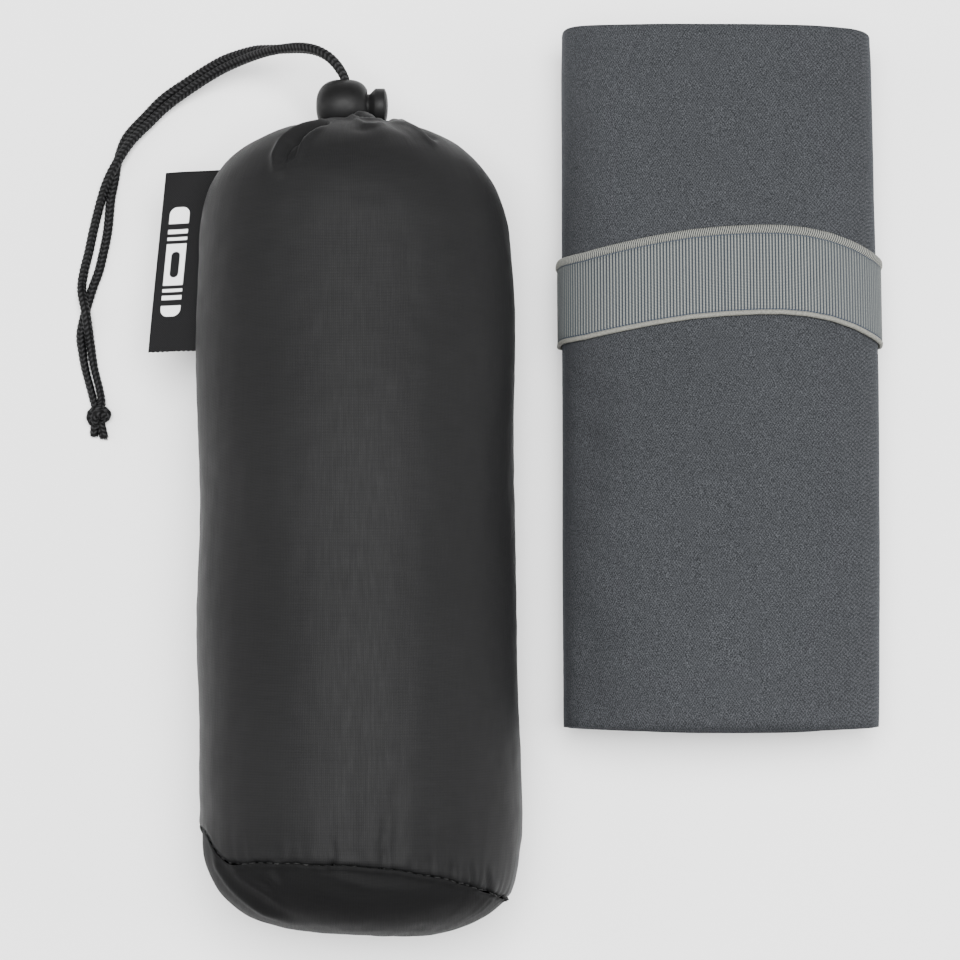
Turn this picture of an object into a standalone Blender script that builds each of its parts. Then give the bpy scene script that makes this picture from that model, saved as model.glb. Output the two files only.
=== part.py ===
"""Travel towel set: a folded and rolled microfibre towel held by an elastic
band, and beside it the filled drawstring pouch with its ball cord lock.

Both lie on a table.  +Z is up, +Y runs along the roll and the pouch towards
the pouch's mouth, +X goes from the pouch to the towel.  The origin is on the
table, under the middle of the set.  Lengths below are in millimetres and are
turned into metres by MM.
"""
import math

import bmesh
import bpy
from mathutils import Vector

MM = 0.001
GAP = 0.3                      # clearance between pieces that touch

# layout point that becomes the origin (middle of the set's footprint)
SET_X, SET_Y = 11.35, 0.85

# towel: 0.61 x 1.22 m cloth, folded in thirds to about 205 mm, then rolled
ROLL_X = 71.4                  # centre of the roll
ROLL_HALF_W = 47.0
ROLL_TOP = 38.0
ROLL_MID = 18.2                # height of the outline's middle
ROLL_END_LOW, ROLL_END_HIGH = -75.0, 134.2
ROLL_EDGE_R = 3.0
ROLL_POWER = 2.7               # flattened, round sided outline
ROLL_STEP_Y = 29.0             # the roll is lifted by the band beyond this

# elastic band: 26 mm wide loop, leaning because its front was pushed up
BAND_W = 26.0
BAND_T = 1.4
BAND_TOP_Y = 58.2              # middle of the band on top of the roll
BAND_LEAN = 0.33               # how far the loop leans per unit of height

# pouch
MOUTH_Z = 38.5
WALL = 1.2
SEAM_Y = -112.0
MOUTH_X = -40.2
BODY_N = 40

# cord lock
BALL = Vector((-40.4, 108.4, 38.5))
BALL_R = 7.85
BORE_R = 3.95
SHANK_R = 3.6
CORD_DX = 0.5                  # cord hole's centre from the ball's centre
PRESS = 2.0                    # button travel

CORD_D = 2.4
CORD_REST_Z = 1.35


def clear_scene():
    for obj in list(bpy.data.objects):
        bpy.data.objects.remove(obj, do_unlink=True)


def place(p):
    """Layout millimetres to metres in the set's frame."""
    return Vector(((p[0] - SET_X) * MM, (p[1] - SET_Y) * MM, p[2] * MM))


def material(name, rgb, rough, metal=0.0):
    mat = bpy.data.materials.new(name)
    mat.use_nodes = True
    shader = mat.node_tree.nodes["Principled BSDF"]
    shader.inputs["Base Color"].default_value = (*rgb, 1.0)
    shader.inputs["Roughness"].default_value = rough
    shader.inputs["Metallic"].default_value = metal
    mat.diffuse_color = (*rgb, 1.0)
    return mat


def finish_mesh(name, bm, mat, origin=None):
    """Make an object from a bmesh in metres; its origin goes to `origin`."""
    bmesh.ops.remove_doubles(bm, verts=bm.verts, dist=1e-7)
    bmesh.ops.recalc_face_normals(bm, faces=bm.faces)
    mesh = bpy.data.meshes.new(name)
    if origin is not None:
        bmesh.ops.translate(bm, verts=bm.verts, vec=-origin)
    bm.to_mesh(mesh)
    bm.free()
    mesh.shade_smooth()
    mesh.set_sharp_from_angle(angle=math.radians(40))
    obj = bpy.data.objects.new(name, mesh)
    bpy.context.collection.objects.link(obj)
    if origin is not None:
        obj.location = origin
    if mat is not None:
        obj.data.materials.append(mat)
    return obj


def spow(v, e):
    return math.copysign(abs(v) ** e, v)


def outline(t, cx, cz, hw, hz, power, z_min):
    """A point on a flattened round section, cut off flat at z_min."""
    e = 2.0 / power
    x = cx + hw * spow(math.cos(t), e)
    z = cz + hz * spow(math.sin(t), e)
    return x, max(z, z_min)


def lerp_table(table, key):
    if key <= table[0][0]:
        return table[0][1:]
    for a, b in zip(table, table[1:]):
        if key <= b[0]:
            f = (key - a[0]) / (b[0] - a[0])
            return tuple(u + (v - u) * f for u, v in zip(a[1:], b[1:]))
    return table[-1][1:]


def rings_to_mesh(rings, closed, caps):
    bm = bmesh.new()
    rows = [[bm.verts.new(place(p)) for p in ring] for ring in rings]
    pairs = list(zip(rows, rows[1:]))
    if closed:
        pairs.append((rows[-1], rows[0]))
    for low, high in pairs:
        n = len(low)
        for i in range(n):
            j = (i + 1) % n
            bm.faces.new((low[i], low[j], high[j], high[i]))
    if caps:
        for row in (rows[0], rows[-1]):
            centre = sum((v.co for v in row), Vector()) / len(row)
            hub = bm.verts.new(centre)
            n = len(row)
            for i in range(n):
                bm.faces.new((row[i], row[(i + 1) % n], hub))
    return bm


# --- towel ---------------------------------------------------------------

def roll_section(y):
    """Centre x, half width, underside height of the roll at y."""
    cx, hw = lerp_table([(-75.0, 70.3, 46.0), (-20.0, 70.9, 46.7),
                         (29.0, ROLL_X, ROLL_HALF_W),
                         (134.2, ROLL_X, ROLL_HALF_W)], y)
    under = 0.0 if y < ROLL_STEP_Y else BAND_T + GAP + 0.05
    return cx, hw, under


def build_towel(mat):
    n = 48
    stations = [(ROLL_END_LOW, ROLL_EDGE_R), (ROLL_END_LOW + 0.9, 1.2),
                (ROLL_END_LOW + ROLL_EDGE_R, 0.0), (-50.0, 0.0), (-20.0, 0.0),
                (5.0, 0.0), (ROLL_STEP_Y - 2.0, 0.0), (ROLL_STEP_Y + 0.5, 0.0),
                (60.0, 0.0), (95.0, 0.0),
                (ROLL_END_HIGH - ROLL_EDGE_R, 0.0), (ROLL_END_HIGH - 0.9, 1.2),
                (ROLL_END_HIGH, ROLL_EDGE_R)]
    rings = []
    for y, inset in stations:
        cx, hw, under = roll_section(y)
        # the flat underside cuts the outline above its lowest point
        cz = ROLL_MID
        hz = ROLL_TOP - ROLL_MID - inset
        rings.append([(*outline(2 * math.pi * i / n, cx, cz, hw - inset, hz,
                                ROLL_POWER, under + inset * 0.4), )
                      for i in range(n)])
        rings[-1] = [(x, y, z) for x, z in rings[-1]]
    return finish_mesh("towel_roll", rings_to_mesh(rings, False, True), mat)


def build_band(mat):
    """A closed strip round the roll, a constant clearance outside it."""
    n = 72
    bm = bmesh.new()
    loops = []
    cz = ROLL_MID
    hz = ROLL_TOP - ROLL_MID
    for i in range(n):
        t = 2 * math.pi * i / n
        inner = outline(t, ROLL_X, cz, ROLL_HALF_W + GAP, hz + GAP,
                        ROLL_POWER, BAND_T + 0.05)
        outer = outline(t, ROLL_X, cz, ROLL_HALF_W + GAP + BAND_T,
                        hz + GAP + BAND_T, ROLL_POWER, 0.05)
        y = BAND_TOP_Y - BAND_LEAN * (ROLL_TOP - inner[1])
        half = BAND_W / 2.0
        loops.append([bm.verts.new(place((inner[0], y - half, inner[1]))),
                      bm.verts.new(place((inner[0], y + half, inner[1]))),
                      bm.verts.new(place((outer[0], y + half, outer[1]))),
                      bm.verts.new(place((outer[0], y - half, outer[1])))])
    for i in range(n):
        a, b = loops[i], loops[(i + 1) % n]
        for k in range(4):
            m = (k + 1) % 4
            bm.faces.new((a[k], a[m], b[m], b[k]))
    return finish_mesh("elastic_band", bm, mat)


# --- pouch ---------------------------------------------------------------

# wall centre line of the tube and its gathered shoulder: (radius, y, centre x)
SHOULDER = [
    (44.9, SEAM_Y + 0.3, -33.9), (45.1, -95.0, -34.0), (45.2, -60.0, -34.8),
    (45.4, -20.0, -35.6), (45.4, 20.0, -36.1), (45.0, 50.0, -36.4),
    (44.2, 72.0, -36.6), (42.0, 80.2, -36.8), (38.6, 86.6, -37.0),
    (33.8, 92.4, -37.2), (28.6, 96.6, -37.3), (23.4, 99.6, -37.5),
    (18.8, 101.2, -38.2), (15.7, 101.7, -39.3), (13.9, 100.8, -40.0),
    (13.2, 99.0, MOUTH_X), (12.4, 97.5, MOUTH_X), (9.1, 97.2, MOUTH_X),
]
# wall centre line of the base panel
BASE = [
    (44.8, SEAM_Y - 0.15, -33.8), (43.6, -114.5, -33.6), (41.9, -118.0, -33.2),
    (39.6, -121.4, -32.8), (36.4, -124.6, -32.5), (31.6, -127.6, -32.3),
    (24.4, -130.0, -31.2), (14.5, -131.4, -28.6), (6.0, -131.9, -26.5),
]


def half_height(r):
    """Sections are lower than wide when large, and round when small."""
    return r * (1.0 - 0.125 * min(1.0, (r / 45.4)) ** 2)


def mid_height(r):
    """Large sections settle a little below the mouth's height."""
    return MOUTH_Z - 1.3 * min(1.0, (r / 45.4)) ** 2


def wall_rings(line, n):
    """Outer rings from start to end, then inner rings back."""
    def normal(i):
        a = line[max(0, i - 1)]
        b = line[min(len(line) - 1, i + 1)]
        dr, dy = b[0] - a[0], b[1] - a[1]
        length = math.hypot(dr, dy)
        return dy / length, -dr / length

    rings = []
    order = [(i, +1) for i in range(len(line))]
    order += [(i, -1) for i in reversed(range(len(line)))]
    for i, side in order:
        r, y, cx = line[i]
        nr, ny = normal(i)
        # the outward side of the wall is always away from the contents
        rr = r + side * nr * WALL / 2.0
        yy = y + side * ny * WALL / 2.0
        z_min = 0.0 if side > 0 else WALL
        ring = []
        for k in range(n):
            t = 2 * math.pi * k / n
            power = 2.0 + 0.25 * min(1.0, r / 45.0)
            x, z = outline(t, cx, mid_height(r), rr,
                           max(0.5, half_height(r) + (rr - r)), power, z_min)
            ring.append((x, yy, z))
        rings.append(ring)
    return rings


def build_pouch_body(mat):
    rings = wall_rings(SHOULDER, BODY_N)
    return finish_mesh("pouch_body", rings_to_mesh(rings, True, False), mat)


def build_pouch_base(mat):
    # runs from the seam to the closed end, so the wall's sides swap
    def normal(i):
        a = BASE[max(0, i - 1)]
        b = BASE[min(len(BASE) - 1, i + 1)]
        dr, dy = b[0] - a[0], b[1] - a[1]
        length = math.hypot(dr, dy)
        return -dy / length, dr / length

    outer, inner = [], []
    for side, rows in ((+1, outer), (-1, inner)):
        for i, (r, y, cx) in enumerate(BASE):
            nr, ny = normal(i)
            if i == 0:
                nr, ny = 1.0, 0.0
            rr = r + side * nr * WALL / 2.0
            yy = y + side * ny * WALL / 2.0
            z_min = 0.0 if side > 0 else WALL
            power = 2.0 + 0.25 * min(1.0, r / 45.0)
            rows.append([(p[0], yy, p[1]) for p in
                         (outline(2 * math.pi * k / BODY_N, cx, mid_height(r),
                                  rr, max(0.5, half_height(r) + (rr - r)),
                                  power, z_min) for k in range(BODY_N))])
    rings = list(reversed(inner)) + outer
    return finish_mesh("pouch_base", rings_to_mesh(rings, False, True), mat)


def turned(profile, axis_point, axis, n, name, mat, origin=None):
    """Turn a closed (radius, height) profile about a line through a point.
    Points at radius 0 lie on the axis and become the solid's poles."""
    bm = bmesh.new()
    axis = Vector(axis).normalized()
    side = Vector((0, 0, 1)) if abs(axis.z) < 0.9 else Vector((1, 0, 0))
    other = axis.cross(side)
    rows = []
    for r, h in profile:
        if r < 1e-6:
            p = Vector(axis_point) + axis * h
            rows.append([bm.verts.new(place(p))])
        else:
            rows.append([bm.verts.new(place(
                Vector(axis_point) + axis * h
                + (side * math.cos(2 * math.pi * k / n)
                   + other * math.sin(2 * math.pi * k / n)) * r))
                for k in range(n)])
    pole = len(rows[0]) == 1
    pairs = list(zip(rows, rows[1:]))
    if not pole:
        pairs.append((rows[-1], rows[0]))
    for a, b in pairs:
        for k in range(n):
            m = (k + 1) % n
            if len(a) == 1:
                bm.faces.new((a[0], b[m], b[k]))
            elif len(b) == 1:
                bm.faces.new((a[k], a[m], b[0]))
            else:
                bm.faces.new((a[k], a[m], b[m], b[k]))
    return finish_mesh(name, bm, mat, origin)


def box(name, low, high, mat=None):
    bm = bmesh.new()
    bmesh.ops.create_cube(bm, size=1.0)
    lo, hi = place(low), place(high)
    for v in bm.verts:
        v.co = Vector((lo[k] if v.co[k] < 0 else hi[k] for k in range(3)))
    return finish_mesh(name, bm, mat)


def cut(target, cutter):
    cutter.hide_render = True
    cutter.display_type = "WIRE"
    mod = target.modifiers.new("cut", "BOOLEAN")
    mod.operation = "DIFFERENCE"
    mod.solver = "EXACT"
    mod.object = cutter


def build_mouth_hem(mat):
    """Folded casing at the mouth: a hollow ring round the drawcord, with one
    gap on its inner side where both ends of the cord come out."""
    centre = (MOUTH_X, 0.0, MOUTH_Z)
    ring = turned([(8.4, 98.2), (12.0, 98.2), (12.2, 100.3), (11.9, 102.3),
                   (10.6, 102.85), (8.6, 102.6)], centre, (0, 1, 0), 36,
                  "pouch_mouth_hem", mat)
    tunnel = turned([(8.95, 98.8), (11.6, 98.8), (11.6, 101.7),
                     (8.95, 101.7)], centre, (0, 1, 0), 36, "cut_tunnel", None)
    exit_gap = box("cut_cord_exit", (MOUTH_X - 9.6, 98.85, MOUTH_Z - 3.2),
                   (MOUTH_X - 7.6, 101.65, MOUTH_Z + 3.2))
    cut(ring, tunnel)
    cut(ring, exit_gap)
    return ring


def build_label(mat):
    """Woven label sewn into the side seam, sloping down to its free edge."""
    top_in = Vector((-75.2, 90.1, 35.0))
    low_in = Vector((-83.0, 35.5, 35.0))
    top_out = Vector((-93.1, 90.1, 31.0))
    low_out = Vector((-97.4, 35.8, 31.0))
    n = 8
    t = 0.35
    bm = bmesh.new()
    rows = []
    for i in range(n + 1):
        f = i / n
        a = low_in.lerp(top_in, f)
        # the inner edge keeps clear of the pouch's side
        r, cx = lerp_table([(y, rr, c) for rr, y, c in SHOULDER[:12]], a.y)
        hz = half_height(r) + WALL / 2.0
        z_off = abs(a.z - mid_height(r)) / hz
        power = 2.0 + 0.25 * min(1.0, r / 45.0)
        side_x = cx - (r + WALL / 2.0) * (1 - z_off ** power) ** (1 / power)
        a.x = side_x - 0.75
        b = low_out.lerp(top_out, f)
        rows.append((a, b))
    grid = []
    for a, b in rows:
        up = Vector((0, 0, t))
        grid.append([bm.verts.new(place(p)) for p in (a - up, b - up, b + up, a + up)])
    for g, h in zip(grid, grid[1:]):
        for k in range(4):
            m = (k + 1) % 4
            bm.faces.new((g[k], g[m], h[m], h[k]))
    bm.faces.new(grid[0])
    bm.faces.new(grid[-1])
    return finish_mesh("side_label", bm, mat)


# --- cord lock -----------------------------------------------------------

def ball_radius(x):
    """Barrel shaped ball: round at the left, squarer where the button is."""
    power = 2.5 if x < 0 else 2.9
    return BALL_R * max(0.0, 1 - (abs(x) / 7.9) ** power) ** (1 / power)


def build_lock(mat_ball, mat_button, mat_steel):
    centre = BALL
    profile = [(0.0, -7.9)]
    for i in range(1, 20):
        a = -math.pi / 2 + math.pi * i / 20
        x = 7.9 * math.sin(a)
        profile.append((ball_radius(x), x))
    profile = [p for p in profile if p[1] < 7.75] + [(3.1, 7.7), (0.0, 7.7)]
    body = turned(profile, centre, (1, 0, 0), 32, "cord_lock_body", mat_ball,
                  place(centre))
    # blind bore for the button, with a wide countersink at its mouth
    bore = turned([(0.0, -5.4), (BORE_R, -5.4), (BORE_R, 6.25), (5.6, 7.9),
                   (5.6, 9.5), (0.0, 9.5)], centre, (1, 0, 0), 28, "cut_bore",
                  None)
    hx = 1.45
    hole = box("cut_cord_hole",
               (centre.x + CORD_DX - hx - PRESS - 0.1, centre.y - 12,
                centre.z - 2.75),
               (centre.x + CORD_DX + hx, centre.y + 12, centre.z + 2.75))
    cut(body, bore)
    cut(body, hole)

    inner = CORD_DX - hx - 1.1
    button = turned([(0.0, inner), (SHANK_R - 0.3, inner),
                     (SHANK_R, inner + 0.3), (SHANK_R, 7.7), (3.5, 8.1),
                     (5.2, 9.8), (5.2, 12.2), (4.6, 12.75), (3.0, 13.1),
                     (0.0, 13.3)], centre, (1, 0, 0), 28, "cord_lock_plunger",
                    mat_button, place(centre))
    slot = box("cut_slot",
               (centre.x + CORD_DX - hx, centre.y - 12, centre.z - 2.75),
               (centre.x + CORD_DX + hx + PRESS + 0.1, centre.y + 12,
                centre.z + 2.75))
    cut(button, slot)

    # conical spring between the bore's bottom and the button
    turns, per, wire = 3.0, 14, 0.2
    start, end = -5.4 + wire + 0.1, inner - wire - 0.1
    pts = []
    count = int(turns * per)
    for i in range(count + 1):
        f = i / count
        a = 2 * math.pi * turns * f
        r = 3.1 - 1.3 * f
        pts.append(Vector((centre.x + start + (end - start) * f,
                           centre.y + r * math.cos(a),
                           centre.z + r * math.sin(a))))
    spring = cord("cord_lock_spring", pts, wire * 2, mat_steel, 1)
    return body, button, spring


# --- drawcord ------------------------------------------------------------

def smooth_route(points, step):
    """Even points, `step` apart, on a smooth curve through `points`."""
    pts = [Vector(p) for p in points]
    ext = [pts[0] * 2 - pts[1]] + pts + [pts[-1] * 2 - pts[-2]]
    fine = []
    for i in range(1, len(ext) - 2):
        p0, p1, p2, p3 = ext[i - 1:i + 3]
        t0 = 0.0
        t1 = t0 + max(1e-6, (p1 - p0).length) ** 0.5
        t2 = t1 + max(1e-6, (p2 - p1).length) ** 0.5
        t3 = t2 + max(1e-6, (p3 - p2).length) ** 0.5
        for k in range(12):
            t = t1 + (t2 - t1) * k / 12
            a1 = p0 * ((t1 - t) / (t1 - t0)) + p1 * ((t - t0) / (t1 - t0))
            a2 = p1 * ((t2 - t) / (t2 - t1)) + p2 * ((t - t1) / (t2 - t1))
            a3 = p2 * ((t3 - t) / (t3 - t2)) + p3 * ((t - t2) / (t3 - t2))
            b1 = a1 * ((t2 - t) / (t2 - t0)) + a2 * ((t - t0) / (t2 - t0))
            b2 = a2 * ((t3 - t) / (t3 - t1)) + a3 * ((t - t1) / (t3 - t1))
            fine.append(b1 * ((t2 - t) / (t2 - t1)) + b2 * ((t - t1) / (t2 - t1)))
    fine.append(pts[-1])
    total = sum((b - a).length for a, b in zip(fine, fine[1:]))
    count = max(2, round(total / step))
    out, want, run = [fine[0]], total / count, 0.0
    for a, b in zip(fine, fine[1:]):
        length = (b - a).length
        while run + length >= want and len(out) < count:
            f = (want - run) / length
            a = a.lerp(b, f)
            out.append(a)
            length = (b - a).length
            run = 0.0
        run += length
    out.append(fine[-1])
    return out


def cord(name, points, diameter, mat, resolution=2):
    curve = bpy.data.curves.new(name, "CURVE")
    curve.dimensions = "3D"
    curve.bevel_depth = diameter * MM / 2.0
    curve.bevel_resolution = resolution
    curve.use_fill_caps = True
    spline = curve.splines.new("POLY")
    spline.points.add(len(points) - 1)
    for target, p in zip(spline.points, points):
        target.co = (*place(p), 1.0)
    obj = bpy.data.objects.new(name, curve)
    bpy.context.collection.objects.link(obj)
    curve.materials.append(mat)
    return obj


# free strand on top at both crossings, from the lock to the knot
STRAND_A = [
    (-39.9, 109.0, 39.85), (-39.9, 112.5, 39.85), (-39.7, 115.8, 39.9),
    (-41.6, 119.6, 40.1), (-44.3, 122.8, 39.9), (-48.0, 125.6, 38.1),
    (-52.7, 127.7, 34.7), (-58.4, 129.1, 29.2), (-63.2, 129.7, 24.8),
    (-67.9, 129.9, 20.1), (-73.7, 129.4, 14.9), (-79.5, 128.0, 10.9),
    (-89.8, 123.3, 5.6), (-97.0, 118.4, 3.4), (-101.7, 113.8, 3.0),
    (-107.3, 107.6, 3.6), (-111.0, 101.5, 4.2), (-114.0, 95.7, 3.7),
    (-116.0, 90.4, 2.2), (-118.5, 80.0, CORD_REST_Z),
    (-119.7, 73.5, CORD_REST_Z), (-121.1, 67.1, CORD_REST_Z),
    (-121.6, 62.8, 1.9), (-121.2, 59.6, 3.4), (-119.9, 54.1, 4.3),
    (-119.2, 49.6, 3.4), (-118.7, 45.2, 1.6), (-117.3, 37.3, CORD_REST_Z),
    (-115.4, 30.1, CORD_REST_Z), (-114.2, 26.0, 1.8),
]
# free strand underneath
STRAND_B = [
    (-39.9, 109.0, 37.15), (-39.9, 112.5, 37.15), (-39.7, 116.2, 37.2),
    (-41.7, 120.4, 37.4), (-44.4, 123.6, 36.8), (-48.1, 126.4, 34.5),
    (-52.8, 128.6, 30.4), (-58.6, 130.3, 24.9), (-63.4, 131.4, 21.1),
    (-68.1, 132.4, 17.4), (-73.8, 132.3, 13.3), (-79.7, 131.2, 9.7),
    (-89.9, 127.1, 4.8), (-97.8, 121.7, 2.3), (-103.2, 116.3, 1.45),
    (-109.0, 109.4, CORD_REST_Z), (-111.4, 102.3, CORD_REST_Z),
    (-112.3, 96.1, CORD_REST_Z), (-113.3, 90.4, CORD_REST_Z),
    (-114.1, 80.0, CORD_REST_Z), (-115.2, 73.5, CORD_REST_Z),
    (-116.6, 67.1, CORD_REST_Z), (-118.0, 63.0, CORD_REST_Z),
    (-118.7, 60.7, CORD_REST_Z), (-120.3, 54.7, CORD_REST_Z),
    (-121.6, 47.2, CORD_REST_Z), (-121.0, 42.2, CORD_REST_Z),
    (-120.1, 37.3, CORD_REST_Z), (-118.1, 30.1, CORD_REST_Z),
    (-117.0, 26.0, 1.8),
]
KNOT = (-115.6, 22.0, 2.85)


def build_drawcord(mat):
    made = []
    # loop inside the casing, open where both ends leave it
    pts = []
    for i in range(37):
        a = math.radians(180 + 23 + (360 - 46) * i / 36)
        pts.append(Vector((MOUTH_X + 10.25 * math.cos(a), 100.25,
                           MOUTH_Z - 10.25 * math.sin(a))))
    made.append(cord("drawcord_hem_loop", pts, CORD_D, mat))
    # each end turns in through the casing's gap, dips into the mouth and
    # goes up through the lock
    for name, s in (("drawcord_neck_a", +1), ("drawcord_neck_b", -1)):
        route = [(-9.85, 100.25, 2.85), (-9.3, 100.2, 1.75), (-7.9, 99.9, 1.4),
                 (-6.0, 98.5, 1.35), (-4.2, 96.5, 1.35), (-2.2, 95.4, 1.35),
                 (-0.5, 96.2, 1.35), (0.2, 98.2, 1.35), (0.3, 101.0, 1.35),
                 (0.3, 105.0, 1.35), (0.3, 108.55, 1.35)]
        pts = smooth_route([(MOUTH_X + x, y, MOUTH_Z + s * z)
                            for x, y, z in route], 1.3)
        made.append(cord(name, pts, CORD_D, mat))
    made.append(cord("drawcord_strand_a", smooth_route(STRAND_A, 4.8), CORD_D, mat))
    made.append(cord("drawcord_strand_b", smooth_route(STRAND_B, 4.8), CORD_D, mat))
    # overhand knot: one closed solid of its outer shape
    bm = bmesh.new()
    bmesh.ops.create_icosphere(bm, subdivisions=2, radius=1.0)
    for v in bm.verts:
        v.co = place((KNOT[0] + v.co.x * 3.9, KNOT[1] + v.co.y * 3.0,
                      KNOT[2] + v.co.z * 2.7))
    made.append(finish_mesh("drawcord_knot", bm, mat))
    made.append(cord("drawcord_tail_a", [(-117.0, 18.6, 1.5), (-117.1, 17.0, 1.4),
                                         (-117.2, 15.6, 1.35)], CORD_D, mat))
    made.append(cord("drawcord_tail_b", [(-114.3, 18.4, 1.5), (-113.9, 16.6, 1.4),
                                         (-113.4, 15.0, 1.35)], CORD_D, mat))
    return made


def main():
    clear_scene()
    cloth = material("microfibre_slate", (0.095, 0.102, 0.112), 0.9)
    elastic = material("elastic_grey", (0.22, 0.235, 0.24), 0.85)
    polyester = material("polyester_black", (0.035, 0.035, 0.036), 0.6)
    polyester_base = material("polyester_black_base", (0.033, 0.033, 0.034), 0.6)
    polyester_hem = material("polyester_black_hem", (0.035, 0.035, 0.036), 0.6)
    woven = material("label_woven", (0.03, 0.03, 0.032), 0.8)
    braid = material("cord_black", (0.02, 0.02, 0.021), 0.8)
    moulded = material("moulded_black", (0.035, 0.035, 0.036), 0.45)
    button = material("button_black", (0.05, 0.05, 0.052), 0.45)
    steel = material("spring_steel", (0.55, 0.55, 0.56), 0.3, 1.0)

    build_towel(cloth)
    build_band(elastic)
    build_pouch_body(polyester)
    build_pouch_base(polyester_base)
    build_mouth_hem(polyester_hem)
    build_label(woven)
    build_lock(moulded, button, steel)
    build_drawcord(braid)


main()
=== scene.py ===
"""Looks of the travel towel set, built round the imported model.
Lengths are in layout millimetres, as in the part's source, and are turned
into metres of the shared frame by w()."""

import math

import bmesh
import bpy
import numpy as np
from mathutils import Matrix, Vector


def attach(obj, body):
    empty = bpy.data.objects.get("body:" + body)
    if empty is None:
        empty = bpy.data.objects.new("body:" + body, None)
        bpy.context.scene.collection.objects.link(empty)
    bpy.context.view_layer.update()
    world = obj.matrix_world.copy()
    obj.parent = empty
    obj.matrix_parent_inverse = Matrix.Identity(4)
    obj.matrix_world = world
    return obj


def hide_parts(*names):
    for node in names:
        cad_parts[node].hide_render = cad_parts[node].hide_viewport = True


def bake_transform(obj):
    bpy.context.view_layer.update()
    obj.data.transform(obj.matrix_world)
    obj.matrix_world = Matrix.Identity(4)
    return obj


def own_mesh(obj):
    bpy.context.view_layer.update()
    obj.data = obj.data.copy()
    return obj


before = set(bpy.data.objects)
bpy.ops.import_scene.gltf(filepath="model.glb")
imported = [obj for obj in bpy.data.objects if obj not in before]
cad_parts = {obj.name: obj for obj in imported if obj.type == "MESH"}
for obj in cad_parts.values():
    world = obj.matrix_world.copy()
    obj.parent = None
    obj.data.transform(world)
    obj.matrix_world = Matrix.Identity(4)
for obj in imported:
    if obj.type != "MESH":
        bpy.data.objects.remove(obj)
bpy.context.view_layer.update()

SET_X, SET_Y = 11.35, 0.85
MM = 0.001


def w(p):
    """Layout millimetres (…, 3) to metres in the frame."""
    p = np.asarray(p, dtype=float)
    out = p * MM
    out[..., 0] -= SET_X * MM
    out[..., 1] -= SET_Y * MM
    return out


# ------------------------------------------------------------------ camera
TILT, DIST, FOCAL_PX = math.radians(9.0), 800.0, 2744.0
cam_data = bpy.data.cameras.new("camera")
cam_data.sensor_width = 36.0
cam_data.lens = FOCAL_PX / 960.0 * 36.0
cam_data.clip_start, cam_data.clip_end = 0.01, 20.0
cam = bpy.data.objects.new("camera", cam_data)
bpy.context.collection.objects.link(cam)
cam.location = w((0.0, -1.8 - DIST * math.sin(TILT), 30 + DIST * math.cos(TILT)))
cam.rotation_euler = (TILT, 0.0, 0.0)
bpy.context.scene.camera = cam

# ------------------------------------------------------------------ helpers


def smoothstep(a, b, x):
    t = np.clip((np.asarray(x, float) - a) / (b - a), 0, 1)
    return t * t * (3 - 2 * t)


def wrap(a):
    return (a + math.pi) % (2 * math.pi) - math.pi


class Waves:
    """A smooth, seeded sum of waves in any number of dimensions."""

    def __init__(self, seed, dims, low, high, count=24):
        rng = np.random.default_rng(seed)
        d = rng.normal(size=(count, dims))
        d /= np.linalg.norm(d, axis=1, keepdims=True)
        self.k = d * (2 * math.pi / rng.uniform(low, high, count))[:, None]
        self.ph = rng.uniform(0, 2 * math.pi, count)
        self.n = count

    def __call__(self, *coords):
        out = 0.0
        for k, ph in zip(self.k, self.ph):
            arg = ph
            for c, kk in zip(coords, k):
                arg = arg + c * kk
            out = out + np.sin(arg)
        return out * math.sqrt(2.0 / self.n)


def make_object(name, verts, faces, mat, uv=None, smooth=True):
    mesh = bpy.data.meshes.new(name)
    mesh.from_pydata([tuple(v) for v in verts], [], [tuple(int(i) for i in f) for f in faces])
    if uv is not None:
        layer = mesh.uv_layers.new(name="map")
        loops = np.empty(len(mesh.loops), dtype=np.int64)
        mesh.loops.foreach_get("vertex_index", loops)
        layer.data.foreach_set("uv", np.asarray(uv, dtype=np.float32)[loops].ravel())
    if smooth:
        mesh.polygons.foreach_set("use_smooth", [True] * len(mesh.polygons))
    mesh.update()
    obj = bpy.data.objects.new(name, mesh)
    bpy.context.collection.objects.link(obj)
    if mat is not None:
        mesh.materials.append(mat)
    return obj


def grid_faces(nu, nv, close_u=False, close_v=False, flip=False):
    u = np.arange(nu if close_u else nu - 1)
    v = np.arange(nv if close_v else nv - 1)
    uu, vv = np.meshgrid(u, v, indexing="ij")
    u2, v2 = (uu + 1) % nu, (vv + 1) % nv
    f = np.stack([uu * nv + vv, u2 * nv + vv, u2 * nv + v2, uu * nv + v2], -1).reshape(-1, 4)
    return f[:, ::-1] if flip else f


def grid_object(name, pts, mat, close_u=False, close_v=False, flip=False, uv=None):
    """pts is (nu, nv, 3) in layout millimetres."""
    nu, nv = pts.shape[:2]
    faces = grid_faces(nu, nv, close_u, close_v, flip)
    return make_object(name, w(pts).reshape(-1, 3), faces, mat,
                       None if uv is None else np.asarray(uv).reshape(-1, 2))


def join_parts(name, parts, mat):
    """One object from several (verts in metres, faces[, uv]) parts."""
    verts, faces, uvs, base = [], [], [], 0
    for part in parts:
        v, f = part[0], part[1]
        verts.append(np.asarray(v))
        faces.extend([[int(i) + base for i in face] for face in f])
        if len(part) > 2:
            uvs.append(np.asarray(part[2]))
        base += len(v)
    uv = np.concatenate(uvs) if uvs else None
    return make_object(name, np.concatenate(verts), faces, mat, uv)


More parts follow.
